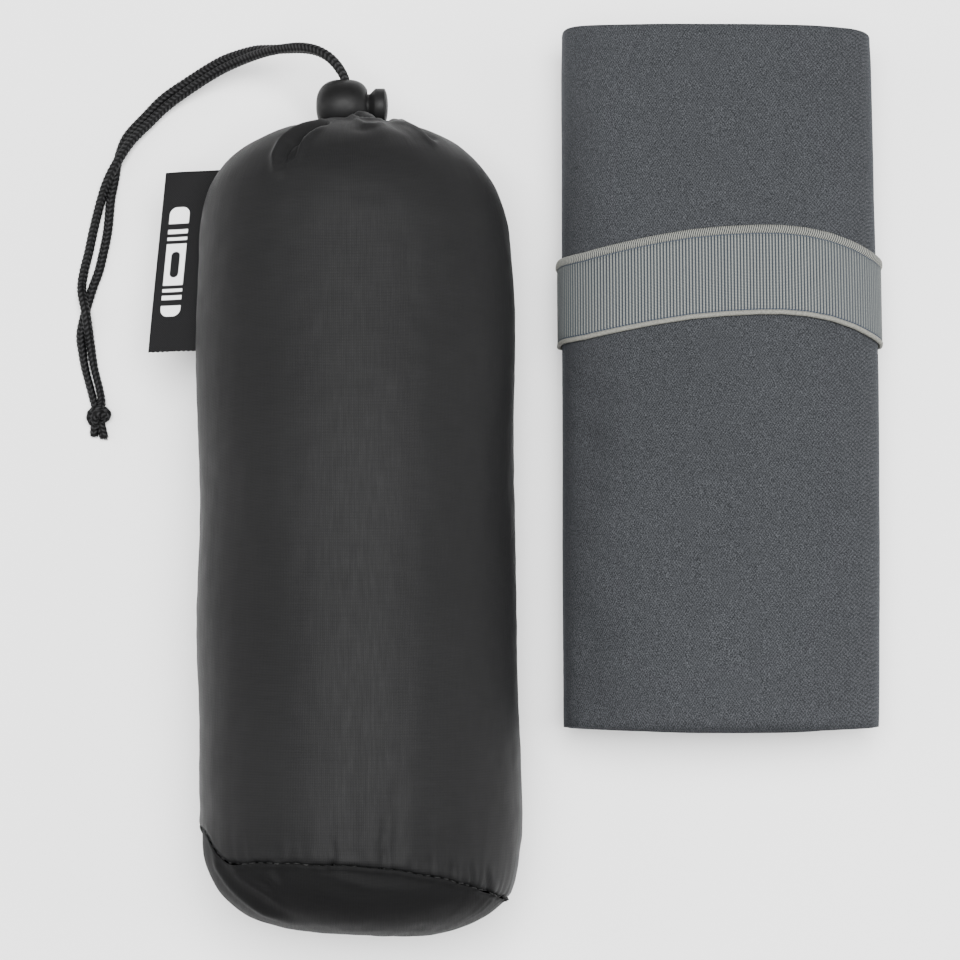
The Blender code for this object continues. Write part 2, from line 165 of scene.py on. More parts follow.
def applied(obj):
    """Bakes the modifiers of an object into its mesh."""
    dg = bpy.context.evaluated_depsgraph_get()
    mesh = bpy.data.meshes.new_from_object(obj.evaluated_get(dg), depsgraph=dg)
    old = obj.data
    obj.modifiers.clear()
    obj.data = mesh
    bpy.data.meshes.remove(old)
    return obj


def solidify(obj, thickness_mm, offset=-1.0):
    mod = obj.modifiers.new("thickness", "SOLIDIFY")
    mod.thickness = thickness_mm * MM
    mod.offset = offset
    mod.use_quality_normals = True
    return applied(obj)


# ------------------------------------------------------------------ materials


class Mat:
    """Short-hand for a node material with one Principled shader."""

    def __init__(self, name, rough=0.6, metal=0.0, spec=0.5, sheen=0.0,
                 sheen_rough=0.5, sheen_tint=None, coat=0.0):
        self.m = bpy.data.materials.new(name)
        self.m.use_nodes = True
        self.t = self.m.node_tree
        self.b = self.t.nodes["Principled BSDF"]
        self.b.inputs["Roughness"].default_value = rough
        self.b.inputs["Metallic"].default_value = metal
        self.b.inputs["Specular IOR Level"].default_value = spec
        self.b.inputs["Sheen Weight"].default_value = sheen
        self.b.inputs["Sheen Roughness"].default_value = sheen_rough
        if sheen_tint:
            self.b.inputs["Sheen Tint"].default_value = (*sheen_tint, 1.0)
        self.b.inputs["Coat Weight"].default_value = coat

    def node(self, kind, **props):
        n = self.t.nodes.new(kind)
        for k, v in props.items():
            setattr(n, k, v)
        return n

    def link(self, a, b):
        self.t.links.new(a, b)

    def coords(self, which="Object"):
        if not hasattr(self, "_tc"):
            self._tc = self.node("ShaderNodeTexCoord")
        return self._tc.outputs[which]

    def mapped(self, scale, which="Object", rot=(0, 0, 0)):
        n = self.node("ShaderNodeMapping")
        n.inputs["Scale"].default_value = scale
        n.inputs["Rotation"].default_value = rot
        self.link(self.coords(which), n.inputs["Vector"])
        return n.outputs["Vector"]

    def noise(self, scale, detail=3, rough=0.55, vector=None, dist=0.0):
        n = self.node("ShaderNodeTexNoise")
        n.inputs["Scale"].default_value = scale
        n.inputs["Detail"].default_value = detail
        n.inputs["Roughness"].default_value = rough
        n.inputs["Distortion"].default_value = dist
        self.link(vector if vector is not None else self.coords(), n.inputs["Vector"])
        return n.outputs["Fac"]

    def wave(self, scale, vector=None, direction="X", dist=0.0, profile="SIN",
             detail=1.0, dscale=1.0):
        n = self.node("ShaderNodeTexWave", bands_direction=direction, wave_profile=profile)
        n.inputs["Scale"].default_value = scale
        n.inputs["Distortion"].default_value = dist
        n.inputs["Detail"].default_value = detail
        n.inputs["Detail Scale"].default_value = dscale
        self.link(vector if vector is not None else self.coords(), n.inputs["Vector"])
        return n.outputs["Fac"]

    def math(self, op, a, b=None, c=None, clamp=False):
        n = self.node("ShaderNodeMath", operation=op, use_clamp=clamp)
        for i, x in enumerate((a, b, c)):
            if x is None:
                continue
            if isinstance(x, (int, float)):
                n.inputs[i].default_value = x
            else:
                self.link(x, n.inputs[i])
        return n.outputs[0]

    def ramp(self, fac, stops):
        n = self.node("ShaderNodeValToRGB")
        els = n.color_ramp.elements
        while len(els) < len(stops):
            els.new(0.5)
        for e, (pos, col) in zip(els, stops):
            e.position = pos
            e.color = (*col, 1.0) if len(col) == 3 else col
        self.link(fac, n.inputs["Fac"])
        return n.outputs["Color"]

    def mix(self, fac, a, b, blend="MIX"):
        n = self.node("ShaderNodeMix", data_type="RGBA", blend_type=blend)
        ins = [s for s in n.inputs if s.enabled]
        for s, x in zip(ins, (fac, a, b)):
            if isinstance(x, (int, float)):
                s.default_value = x
            elif isinstance(x, tuple):
                s.default_value = (*x, 1.0) if len(x) == 3 else x
            else:
                self.link(x, s)
        return [o for o in n.outputs if o.enabled][0]

    def bump(self, height, strength, distance_mm, normal=None):
        n = self.node("ShaderNodeBump")
        n.inputs["Strength"].default_value = strength
        n.inputs["Distance"].default_value = distance_mm * MM
        self.link(height, n.inputs["Height"])
        if normal is not None:
            self.link(normal, n.inputs["Normal"])
        return n.outputs["Normal"]

    def out(self, color=None, rough=None, normal=None):
        if color is not None:
            if isinstance(color, tuple):
                self.b.inputs["Base Color"].default_value = (*color, 1.0)
            else:
                self.link(color, self.b.inputs["Base Color"])
        if rough is not None:
            self.link(rough, self.b.inputs["Roughness"])
        if normal is not None:
            self.link(normal, self.b.inputs["Normal"])
        return self.m


def mat_microfibre():
    m = Mat("microfibre", rough=0.92, spec=0.08, sheen=0.035, sheen_rough=0.45,
            sheen_tint=(0.8, 0.86, 1.0))
    # short nap over a fine weave: threads 0.8 mm apart, broken up by fibre
    sep = m.node("ShaderNodeSeparateXYZ")
    m.link(m.coords(), sep.inputs[0])
    ox, oy, oz = sep.outputs
    fine = m.noise(5200, 1, 0.6)
    clump = m.noise(2600, 1, 0.5)
    shake = m.math("MULTIPLY", m.noise(420, 2, 0.6), 5.0)
    wx = m.math("SINE", m.math("ADD", m.math("MULTIPLY", m.math("ADD", ox, m.math("MULTIPLY", oz, 0.7)), 7650.0), shake))
    wy = m.math("SINE", m.math("ADD", m.math("MULTIPLY", m.math("ADD", oy, m.math("MULTIPLY", oz, 0.3)), 5200.0), shake))
    twill = m.math("ADD", 0.5, m.math("MULTIPLY", m.math("MULTIPLY", wx, wy), 0.5))
    brushed = m.noise(30, 3, 0.5, m.mapped((1, 0.5, 1)))
    wide = m.noise(11, 3, 0.5)
    grain = m.math("ADD", m.math("MULTIPLY", twill, 0.11),
                   m.math("ADD", m.math("MULTIPLY", fine, 0.67), m.math("MULTIPLY", clump, 0.22)))
    col = m.ramp(grain, [(0.36, (0.0075, 0.0082, 0.0092)), (0.5, (0.0222, 0.0235, 0.0259)),
                         (0.64, (0.058, 0.061, 0.066))])
    tone = m.ramp(m.math("ADD", m.math("MULTIPLY", brushed, 0.5), m.math("MULTIPLY", wide, 0.5)),
                  [(0.35, (0.93, 0.93, 0.93)), (0.65, (1.05, 1.05, 1.05))])
    col = m.mix(1.0, col, tone, "MULTIPLY")
    rough = m.ramp(clump, [(0.3, (0.82,) * 3), (0.7, (0.98,) * 3)])
    n = m.bump(grain, 0.42, 0.20)
    n = m.bump(brushed, 0.06, 0.5, n)
    return m.out(col, rough, n)


def mat_hem_thread():
    m = Mat("towel_hem_thread", rough=0.75, spec=0.3, sheen=0.2)
    s = m.wave(900, m.mapped((1, 1, 1)), "X", 1.0)
    col = m.ramp(m.noise(900, 2), [(0.3, (0.06, 0.064, 0.07)), (0.7, (0.13, 0.137, 0.145))])
    return m.out(col, None, m.bump(s, 0.5, 0.15))


def mat_polyester(name, seed_shift=0.0, lift=1.0, matt=0.0):
    m = Mat(name, rough=0.55, spec=0.085 * (1 - matt), sheen=0.008 * (1 - matt), sheen_rough=0.35,
            sheen_tint=(0.95, 0.97, 1.0))
    # plain weave, 0.36 mm threads, with slight slubs
    v = m.coords("UV")
    warp = m.wave(1.0, m.mapped((0.72, 0.72, 1), "UV"), "X", 0.25, dscale=0.5)
    weft = m.wave(1.0, m.mapped((0.72, 0.72, 1), "UV"), "Y", 0.25, dscale=0.5)
    weave = m.math("MULTIPLY", warp, weft)
    slub = m.noise(0.9, 3, 0.6, m.mapped((0.12, 2.0, 1), "UV"))
    slub2 = m.noise(0.9, 3, 0.6, m.mapped((2.0, 0.12, 1), "UV"))
    wide = m.noise(18 + seed_shift, 4, 0.5)
    # lift scales the colour; the base panel's lift of 0.66 is painted shade
    a = tuple(c * lift for c in (0.0058, 0.0058, 0.0060))
    b = tuple(c * lift for c in (0.0106, 0.0106, 0.0109))
    col = m.ramp(m.math("ADD", m.math("MULTIPLY", weave, 0.35),
                        m.math("ADD", m.math("MULTIPLY", slub, 0.3), m.math("MULTIPLY", wide, 0.35))),
                 [(0.28, a), (0.62, b)])
    rough = m.ramp(slub2, [(0.25, (0.52 + 0.3 * matt,) * 3), (0.75, (0.64 + 0.3 * matt,) * 3)])
    n = m.bump(weave, 0.26, 0.08)
    n = m.bump(m.math("ADD", slub, slub2), 0.07, 0.10, n)
    n = m.bump(m.noise(55, 4, 0.55), 0.10, 1.2, n)
    return m.out(col, rough, n)


def mat_elastic():
    """UV is (rib count round the band, millimetres across it)."""
    m = Mat("elastic", rough=0.72, spec=0.2, sheen=0.04, sheen_rough=0.4)
    sep = m.node("ShaderNodeSeparateXYZ")
    m.link(m.coords("UV"), sep.inputs[0])
    u, v = sep.outputs[0], sep.outputs[1]
    rib = m.math("ABSOLUTE", m.math("SINE", m.math("MULTIPLY", u, math.pi)))
    # fine cross threads on each rib
    cross = m.math("ABSOLUTE", m.math("SINE", m.math("MULTIPLY", v, math.pi / 0.42)))
    jitter = m.noise(1.0, 3, 0.7, m.mapped((1.4, 2.4, 1), "UV"))
    # stitches of the top edge lie aslant, and are finer than the ribs
    slant = m.math("ADD", m.math("MULTIPLY", u, 1.45), m.math("MULTIPLY", v, 0.42))
    stitch = m.math("ABSOLUTE", m.math("SINE", m.math("MULTIPLY", slant, math.pi)))
    in_top = m.math("GREATER_THAN", v, 10.45)
    in_low = m.math("LESS_THAN", v, -11.65)
    # the ribs stand clear on the top and blur into the weave at both sides
    obj_xyz = m.node("ShaderNodeSeparateXYZ")
    m.link(m.coords("Object"), obj_xyz.inputs[0])
    off = m.math("ABSOLUTE", m.math("SUBTRACT", obj_xyz.outputs[0], 0.0560))
    blur = m.math("MULTIPLY", m.math("SUBTRACT", off, 0.028), 50.0, clamp=True)
    crisp = m.math("MULTIPLY", m.math("POWER", rib, 1.4),
                   m.math("ADD", 0.60, m.math("MULTIPLY", cross, 0.40)))
    plainer = m.math("ADD", 0.30, m.math("MULTIPLY", crisp, 0.45))
    body = m.math("ADD", m.math("MULTIPLY", crisp, m.math("SUBTRACT", 1.0, blur)), m.math("MULTIPLY", plainer, blur))
    # groove lines next to both edges
    g1 = m.math("SUBTRACT", 1.0, m.math("SMOOTH_MIN", m.math("MULTIPLY", m.math("ABSOLUTE", m.math("SUBTRACT", v, 10.3)), 3.2), 1.0, 0.1), clamp=True)
    g2 = m.math("SUBTRACT", 1.0, m.math("SMOOTH_MIN", m.math("MULTIPLY", m.math("ABSOLUTE", m.math("SUBTRACT", v, -11.45)), 3.4), 1.0, 0.1), clamp=True)
    groove = m.math("MAXIMUM", g1, g2)
    base = m.ramp(m.math("ADD", m.math("MULTIPLY", body, 0.8), m.math("MULTIPLY", jitter, 0.2)),
                  [(0.18, (0.0105, 0.0150, 0.0220)), (0.50, (0.047, 0.054, 0.059)),
                   (0.88, (0.205, 0.208, 0.187))])
    top = m.ramp(m.math("ADD", m.math("MULTIPLY", stitch, 0.75), m.math("MULTIPLY", jitter, 0.25)),
                 [(0.28, (0.0105, 0.0135, 0.0190)), (0.58, (0.068, 0.072, 0.071)), (0.9, (0.225, 0.224, 0.196))])
    low = m.ramp(jitter, [(0.3, (0.085, 0.085, 0.076)), (0.7, (0.205, 0.203, 0.178))])
    col = m.mix(in_top, base, top)
    col = m.mix(in_low, col, low)
    col = m.mix(m.math("MULTIPLY", groove, 0.85), col, (0.014, 0.021, 0.036))
    h = m.math("ADD", m.math("MULTIPLY", cross, 0.5), jitter)
    n = m.bump(h, 0.5, 0.08)
    n = m.bump(m.math("MULTIPLY", stitch, in_top), 0.9, 0.18, n)
    return m.out(col, None, n)


def mat_cord():
    """UV is (fraction round, millimetres along)."""
    m = Mat("cord", rough=0.6, spec=0.10, sheen=0.006, sheen_rough=0.4)
    fib = m.noise(1.0, 3, 0.7, m.mapped((26, 5.5, 1), "UV"))
    braid_painted_shade = m.node("ShaderNodeAttribute", attribute_name="relief")
    # the braid relief darkens the grooves and lightens the ridges: painted shade and painted highlight, over real fibre
    # noise
    col = m.ramp(m.math("ADD", m.math("MULTIPLY", braid_painted_shade.outputs["Fac"], 0.75), m.math("MULTIPLY", fib, 0.25)),
                 [(0.20, (0.0003, 0.0003, 0.0004)), (0.60, (0.0026, 0.0026, 0.0028)), (0.90, (0.025, 0.025, 0.026))])
    return m.out(col, None, m.bump(fib, 0.55, 0.10))


def mat_plastic(name, tone=0.03):
    m = Mat(name, rough=0.44, spec=0.11)
    grain = m.noise(2600, 3, 0.6)
    wide = m.noise(150, 3, 0.5)
    col = m.ramp(wide, [(0.3, (tone * 0.85,) * 3), (0.7, (tone * 1.15, tone * 1.15, tone * 1.18))])
    rough = m.ramp(m.noise(420, 3), [(0.3, (0.42,) * 3), (0.7, (0.56,) * 3)])
    return m.out(col, rough, m.bump(grain, 0.35, 0.06))


def mat_label():
    """UV is millimetres: x across the label, y along it."""
    m = Mat("label", rough=0.65, spec=0.08, sheen=0.005, sheen_rough=0.4)
    sep = m.node("ShaderNodeSeparateXYZ")
    m.link(m.coords("UV"), sep.inputs[0])
    u, v = sep.outputs[0], sep.outputs[1]
    tw = m.math("ABSOLUTE", m.math("SINE", m.math("ADD", m.math("MULTIPLY", u, math.pi / 0.62),
                                                   m.math("MULTIPLY", v, math.pi / 0.62))))
    rows = m.math("ABSOLUTE", m.math("SINE", m.math("SUBTRACT", m.math("MULTIPLY", v, math.pi / 0.55), m.math("MULTIPLY", u, math.pi / 0.8))))
    jit = m.noise(1.0, 3, 0.7, m.mapped((2.2, 2.2, 1), "UV"))

    def inside(cx, cy, hx, hy, r):
        """1 inside a rounded box, from its distance."""
        qx = m.math("MAXIMUM", m.math("SUBTRACT", m.math("ABSOLUTE", m.math("SUBTRACT", u, cx)), hx - r), 0.0)
        qy = m.math("MAXIMUM", m.math("SUBTRACT", m.math("ABSOLUTE", m.math("SUBTRACT", v, cy)), hy - r), 0.0)
        d = m.math("SQRT", m.math("ADD", m.math("MULTIPLY", qx, qx), m.math("MULTIPLY", qy, qy)))
        return m.math("MULTIPLY", m.math("SUBTRACT", r + 0.08, d), 6.0, clamp=True)

    bar = inside(5.6, 27.0, 3.0, 16.5, 2.2)
    for cy, hy in ((37.6, 0.9), (34.9, 0.55), (32.9, 0.55), (19.3, 0.55), (17.3, 0.55), (14.6, 0.9)):
        bar = m.math("MULTIPLY", bar, m.math("SUBTRACT", 1.0, inside(5.6, cy, 4.0, hy, 0.2)))
    dot = inside(5.6, 26.1, 1.35, 3.9, 1.3)
    bar = m.math("MULTIPLY", bar, m.math("SUBTRACT", 1.0, dot))
    black = m.ramp(m.math("ADD", m.math("MULTIPLY", rows, 0.5), m.math("MULTIPLY", jit, 0.5)),
                   [(0.25, (0.0010, 0.0010, 0.0012)), (0.8, (0.0115, 0.0115, 0.012))])
    white = m.ramp(m.math("ADD", m.math("MULTIPLY", tw, 0.6), m.math("MULTIPLY", jit, 0.4)),
                   [(0.2, (0.50, 0.50, 0.50)), (0.6, (0.95, 0.95, 0.94))])
    col = m.mix(bar, black, white)
    h = m.math("ADD", m.math("MULTIPLY", rows, 0.6), m.math("MULTIPLY", tw, 0.4))
    return m.out(col, None, m.bump(m.math("ADD", h, bar), 0.5, 0.10))


def mat_thread():
    m = Mat("stitch_thread", rough=0.6, spec=0.35)
    n = m.noise(1800, 2)
    return m.out(m.ramp(n, [(0.3, (0.002,) * 3), (0.7, (0.007,) * 3)]), None, m.bump(n, 0.5, 0.06))


def mat_steel():
    m = Mat("spring_steel", rough=0.3, metal=1.0)
    n = m.noise(900, 2)
    return m.out(m.ramp(n, [(0.3, (0.42,) * 3), (0.7, (0.6,) * 3)]), None, m.bump(n, 0.2, 0.03))


MICRO, ELASTIC, CORD = mat_microfibre(), mat_elastic(), mat_cord()
# the base panel is a darker copy of the same polyester: its colour scaled by 0.66 is painted shade for the underside,
# and matt lowers its sheen and specular
POLY, POLY_BASE_SHADED, POLY_HEM = (mat_polyester("polyester", 0.0, 1.0), mat_polyester("polyester_base_painted_shade", 3.0, 0.66, 0.35),
                             mat_polyester("polyester_hem", 5.0, 0.9))
BALL_MAT, BUTTON_MAT = mat_plastic("lock_plastic", 0.0062), mat_plastic("button_plastic", 0.0075)
LABEL, THREAD, STEEL, HEM = mat_label(), mat_thread(), mat_steel(), mat_hem_thread()

# ------------------------------------------------------------------ towel
ROLL_X, ROLL_HW, ROLL_TOP, ROLL_MID, ROLL_P = 71.4, 47.0, 38.0, 18.2, 2.7


def spow(v, e):
    return np.sign(v) * np.abs(v) ** e


def roll_cx(y):
    return np.interp(y, [-75, -20, 29, 134], [70.3, 70.9, 71.4, 71.4])


def roll_hw(y):
    return np.interp(y, [-75, -20, 29, 134], [46.0, 46.7, 47.0, 46.8])


def roll_under(y):
    return 1.75 * smoothstep(24.0, 31.0, y)


def build_towel():
    pitch, ply_pitch, ply_t = 2.62, 0.80, 0.56
    t_start = math.radians(-38.0)             # the outer end lies low at the right
    turns = 6.8
    # angles round the spiral: fine on the outer turns
    outer = np.linspace(0, 1.25 * 2 * math.pi, 250)
    inner = np.linspace(1.25 * 2 * math.pi, turns * 2 * math.pi, 300)[1:]
    phi = np.concatenate([outer, inner])
    # stretch the angles so that points spread evenly on the flattened outline
    e = 2.0 / ROLL_P

    def centre(phi, off, y, wob):
        t = t_start + phi
        # each turn hugs the one outside it and steps in on the underside
        turn = phi / (2 * math.pi)
        d = pitch * (np.floor(turn) + smoothstep(0.62, 1.0, turn - np.floor(turn))) + off
        hw = roll_hw(y) - d - wob
        hz = ROLL_TOP - ROLL_MID - d - wob
        x = roll_cx(y) + hw * spow(np.cos(t), e)
        z = ROLL_MID + hz * spow(np.sin(t), e)
        return x, np.maximum(z, roll_under(y) + d + 0.12)

    soft = Waves(3, 2, 34, 80, 16)
    ripple = Waves(8, 2, 12, 24, 16)

    # along the folded width: three plies joined by two folds
    top_y, low_y = 134.0, -75.0
    n1, n2, nf = 74, 16, 7
    rows = []      # (y parameter 0..1 between the ends, ply offset, end bulge)
    for i in range(n1):
        rows.append((i / (n1 - 1), 0.0, 0.0))
    for i in range(1, nf):
        a = math.pi * i / nf
        rows.append((1.0, 0.5 - 0.5 * math.cos(a), math.sin(a)))
    for i in range(n2):
        rows.append((1 - i / (n2 - 1), 1.0, 0.0))
    for i in range(1, nf):
        a = math.pi * i / nf
        rows.append((0.0, 1.5 - 0.5 * math.cos(a), -math.sin(a)))
    for i in range(n2):
        rows.append((i / (n2 - 1), 2.0, 0.0))
    rows = np.array(rows)
    f, ply, bulge = rows[:, 0][None], rows[:, 1][None], rows[:, 2][None]
    P = phi[:, None]
    # ease the rows towards the ends
    turn_shift = 0.55 * np.sin(P * 0.37 + 1.0) + 0.35 * np.sin(P * 0.93)
    x0 = np.cos(t_start + P)
    z0 = np.sin(t_start + P)
    depth = np.clip(P / (2 * math.pi), 0, None)
    hi = top_y + 0.3 - turn_shift * 0.8 * np.minimum(depth, 1) - 0.10 * depth
    hi = hi + np.where(x0 < 0, 2.6, 0.6) * np.abs(x0) ** 3
    lo = low_y + 1.2 - 1.3 * z0 + 0.9 * np.abs(x0) ** 3 + turn_shift * 0.5 * np.minimum(depth, 1) + 0.10 * depth
    fold = 0.40
    y = lo + (hi - lo) * f
    # stay inside the fold's own round end
    y = np.where((ply > 0) & (ply < 1), hi - fold + fold * bulge, y)
    y = np.where((ply > 1) & (ply < 2), lo + fold + fold * bulge, y)
    y = np.where(ply == 0, np.minimum(y, hi - fold), y)
    y = np.where(ply == 1, np.clip(y, lo + fold, hi - fold), y)
    y = np.where(ply == 2, np.maximum(y, lo + fold), y)
    arc = P * 30.0
    t_now = wrap(t_start + P)
    calm = smoothstep(30, 26, y) + smoothstep(74, 80, y)      # flat under the band
    calm = 0.25 + 0.75 * np.clip(calm, 0, 1)
    side = 1 - 0.85 * np.abs(x0) ** 5
    wob = (0.26 + 0.34 * soft(arc, y) * calm + 0.10 * ripple(arc, y) * calm) * side
    # dents of the soft left side
    left = np.exp(-((t_now - math.pi * 0.80) / 0.34) ** 2)
    for yc, wd, dep in ((24.0, 5, 0.9), (9.0, 4.5, 1.6), (-5.0, 5, 1.1), (-22.0, 6, 0.6), (-48.0, 9, 1.3), (-66.0, 8, 1.2)):
        wob = wob + 1.7 * dep * left * np.exp(-((y - yc + 14 * (x0 + 0.8)) / wd) ** 2) * np.clip(calm, 0, 1)
    wob = np.maximum(wob, 0.02)
    # the ends of the roll draw in slightly
    endness = smoothstep(126, 134, y) * 0.35 + smoothstep(-69, -75, y) * 0.25
    wob = wob + endness * 0.6
    # the outer end of the cloth lies flat on the turn below
    off = 0.30 + ply * ply_pitch
    x, z = centre(P, off, y, wob * np.exp(-depth * 0.25))
    pts = np.stack([x, y + 0 * x, z], -1)
    towel = grid_object("towel_cloth", pts, MICRO)
    towel = solidify(towel, ply_t, 0.0)
    return towel, pts


towel, towel_pts = build_towel()
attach(towel, "towel")
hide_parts("towel_roll")

# ------------------------------------------------------------------ band
BAND_TOP_Y = 59.5


def build_band():
    # even steps round the outline
    tt = np.linspace(0, 2 * math.pi, 4001)
    e = 2.0 / ROLL_P

    def outline(t, off):
        x = ROLL_X + (ROLL_HW + off) * spow(np.cos(t), e)
        z = ROLL_MID + (ROLL_TOP - ROLL_MID + off) * spow(np.sin(t), e)
        return x, np.maximum(z, 1.75 - off)

    ox, oz = outline(tt, 1.0)
    arc = np.concatenate([[0], np.cumsum(np.hypot(np.diff(ox), np.diff(oz)))])
    ribs = int(round(arc[-1] / 0.93))
    per = 5
    n = ribs * per
    s = np.arange(n) / n * arc[-1]
    t = np.interp(s, arc, tt)
    u = np.arange(n) / per
    # across: outside from the low edge to the top edge, then back inside
    across = [(-13.0, 0.75), (-12.95, 1.15), (-12.6, 1.45), (-12.1, 1.48), (-11.75, 1.25), (-11.5, 0.92)]
    mid = np.linspace(-11.2, 10.0, 15)
    across += [(v, 1.22) for v in mid]
    across += [(10.3, 0.95), (10.6, 1.30), (11.1, 1.55), (11.75, 1.62), (12.3, 1.58), (12.75, 1.35), (13.0, 0.95)]
    across += [(12.9, 0.50), (11.0, 0.36), (4.0, 0.36), (-4.0, 0.36), (-11.0, 0.36), (-12.9, 0.45)]
    av = np.array(across)
    v, h = av[:, 0], av[:, 1]
    ribbed = ((v > -11.3) & (v < 10.1) & (h > 1.0)).astype(float)
    stitched = ((v > 10.5) & (v < 12.9) & (h > 1.2)).astype(float)
    U, V = u[:, None], v[None]
    slow = Waves(5, 2, 30, 70, 10)
    H = h[None] + ribbed[None] * (0.20 * (np.abs(np.sin(math.pi * U)) - 0.55))
    H = H + stitched[None] * 0.26 * (np.abs(np.sin(math.pi * (U * 1.45 + V * 0.42))) - 0.5)
    H = H + 0.03 * slow(s[:, None], V)
    T = t[:, None] + 0 * V
    x = ROLL_X + (ROLL_HW + H) * spow(np.cos(T), e)
    z = ROLL_MID + (ROLL_TOP - ROLL_MID + H) * spow(np.sin(T), e)
    z = np.maximum(z, 1.75 - np.minimum(H, 1.65))
    zi = np.maximum(ROLL_MID + (ROLL_TOP - ROLL_MID) * spow(np.sin(T), e), 1.5)
    # arched on the top, straight down both sides
    u_x = np.clip(spow(np.cos(T), e), -1, 1)
    drop = np.interp(u_x, [-1, -0.93, -0.85, -0.65, -0.45, -0.2, 0, 0.2, 0.35, 0.5, 0.65, 0.8, 0.9, 0.96, 1.0],
                     [6.8, 7.0, 6.8, 5.1, 3.3, 1.4, 0.5, 0.02, 0.0, 0.55, 1.75, 3.8, 5.6, 6.6, 7.0])
    under = smoothstep(ROLL_MID + 2, ROLL_MID - 2, zi)
    drop = drop * (1 - under) + (6.9 - 0.16 * (ROLL_MID - zi)) * under
    y = BAND_TOP_Y - drop + V - 0.9 * (1 - u_x ** 2) * (1 - under) * smoothstep(0, -13, V)
    pts = np.stack([x, y, z], -1)
    uv = np.stack([U + 0 * V, V + 0 * U], -1)
    band = grid_object("elastic_loop", pts, ELASTIC, close_u=True, close_v=True, flip=True, uv=uv)
    return band, arc[-1]


band, band_len = build_band()
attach(band, "elastic_band")
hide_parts("elastic_band")

# ------------------------------------------------------------------ pouch
MOUTH_Z = 38.5
# outer skin: (radius, y, centre x) from the middle of the base to the lip
SKIN = np.array([
    (2.0, -132.5, -22.0), (14.5, -132.05, -27.4), (24.6, -130.7, -31.1), (31.9, -128.4, -32.4),
    (36.7, -125.6, -32.5), (39.8, -122.8, -32.5), (42.2, -119.0, -33.0), (43.8, -114.5, -33.5),
    (44.9, -108.9, -33.9), (45.6, -103.0, -33.9), (45.75, -95.0, -34.0), (45.8, -80.8, -34.2),
    (46.0, -50.0, -35.0), (46.1, -20.0, -35.6), (46.1, 6.0, -36.0), (45.9, 35.0, -36.2),
    (45.4, 60.0, -36.3), (44.6, 72.0, -36.5), (42.4, 80.5, -36.8), (38.6, 87.5, -37.0),
    (33.2, 93.6, -37.1), (28.0, 97.4, -37.2), (22.5, 100.6, -37.3), (18.0, 102.4, -37.3),
    (15.0, 103.2, -37.4), (13.2, 103.4, -37.6)])
SKIN_S = np.concatenate([[0], np.cumsum(np.hypot(np.diff(SKIN[:, 0]), np.diff(SKIN[:, 1])))])


def smooth_table(s, col):
    """Monotone-ish cubic through the skin table."""
    x, y = SKIN_S, SKIN[:, col]
    m = np.gradient(y, x)
    i = np.clip(np.searchsorted(x, s) - 1, 0, len(x) - 2)
    hh = x[i + 1] - x[i]
    t = (s - x[i]) / hh
    return ((2 * t ** 3 - 3 * t ** 2 + 1) * y[i] + (t ** 3 - 2 * t ** 2 + t) * hh * m[i]
            + (-2 * t ** 3 + 3 * t ** 2) * y[i + 1] + (t ** 3 - t ** 2) * hh * m[i + 1])


def half_height(r):
    return r * (1.0 - 0.125 * np.minimum(1.0, r / 45.4) ** 2)


def mid_height(r):
    return MOUTH_Z - 1.3 * np.minimum(1.0, r / 45.4) ** 2


def skin_point(s, t):
    """s: distance along the profile, t: angle round (0 = +X, pi/2 = up)."""
    r, y, cx = smooth_table(s, 0), smooth_table(s, 1), smooth_table(s, 2)
    p = 2.0 + 0.25 * np.minimum(1.0, r / 45.0)
    e = 2.0 / p
    x = cx + r * spow(np.cos(t), e)
    x = x + 0.8 * np.exp(-((y + 100.0) / 9.0) ** 2) * smoothstep(-0.3, -1.0, np.cos(t))
    z = mid_height(r) + half_height(r) * spow(np.sin(t), e)
    # soft flat underside
    k = 1.6
    z = 0.12 + k * np.logaddexp(0.0, (z - 0.12) / k)
    # the front of the shoulder lies lower than the back, most at the lip
    sink = np.interp(r, [13.2, 16.0, 18.0, 22.5, 28.0, 33.2, 38.6, 42.4, 44.6], [4.1, 3.7, 3.2, 2.2, 1.4, 0.95, 0.45, 0.12, 0.0])
    sink = sink * (y > 60) * smoothstep(28.0, 46.0, z) * (0.9 - 0.25 * np.cos(t))
    return np.stack([x, y - sink, z], -1)


def grid_normals(p, close_u=True):
    du = (np.roll(p, -1, 0) - np.roll(p, 1, 0)) if close_u else np.gradient(p, axis=0)
    dv = np.gradient(p, axis=1)
    n = np.cross(dv, du)
    return n / np.maximum(np.linalg.norm(n, axis=-1, keepdims=True), 1e-9)


def seg_dist(x, y, line):
    """Distance to a polyline and the share of the way along it."""
    best = np.full(np.shape(x), 1e9)
    share = np.zeros(np.shape(x))
    total = sum(math.dist(a, b) for a, b in zip(line, line[1:]))
    run = 0.0
    for a, b in zip(line, line[1:]):
        L = math.dist(a, b)
        t = np.clip(((x - a[0]) * (b[0] - a[0]) + (y - a[1]) * (b[1] - a[1])) / L ** 2, 0, 1)
        d = np.hypot(x - a[0] - t * (b[0] - a[0]), y - a[1] - t * (b[1] - a[1]))
        near = d < best
        best = np.where(near, d, best)
        share = np.where(near, (run + t * L) / total, share)
        run += L
    return best, share


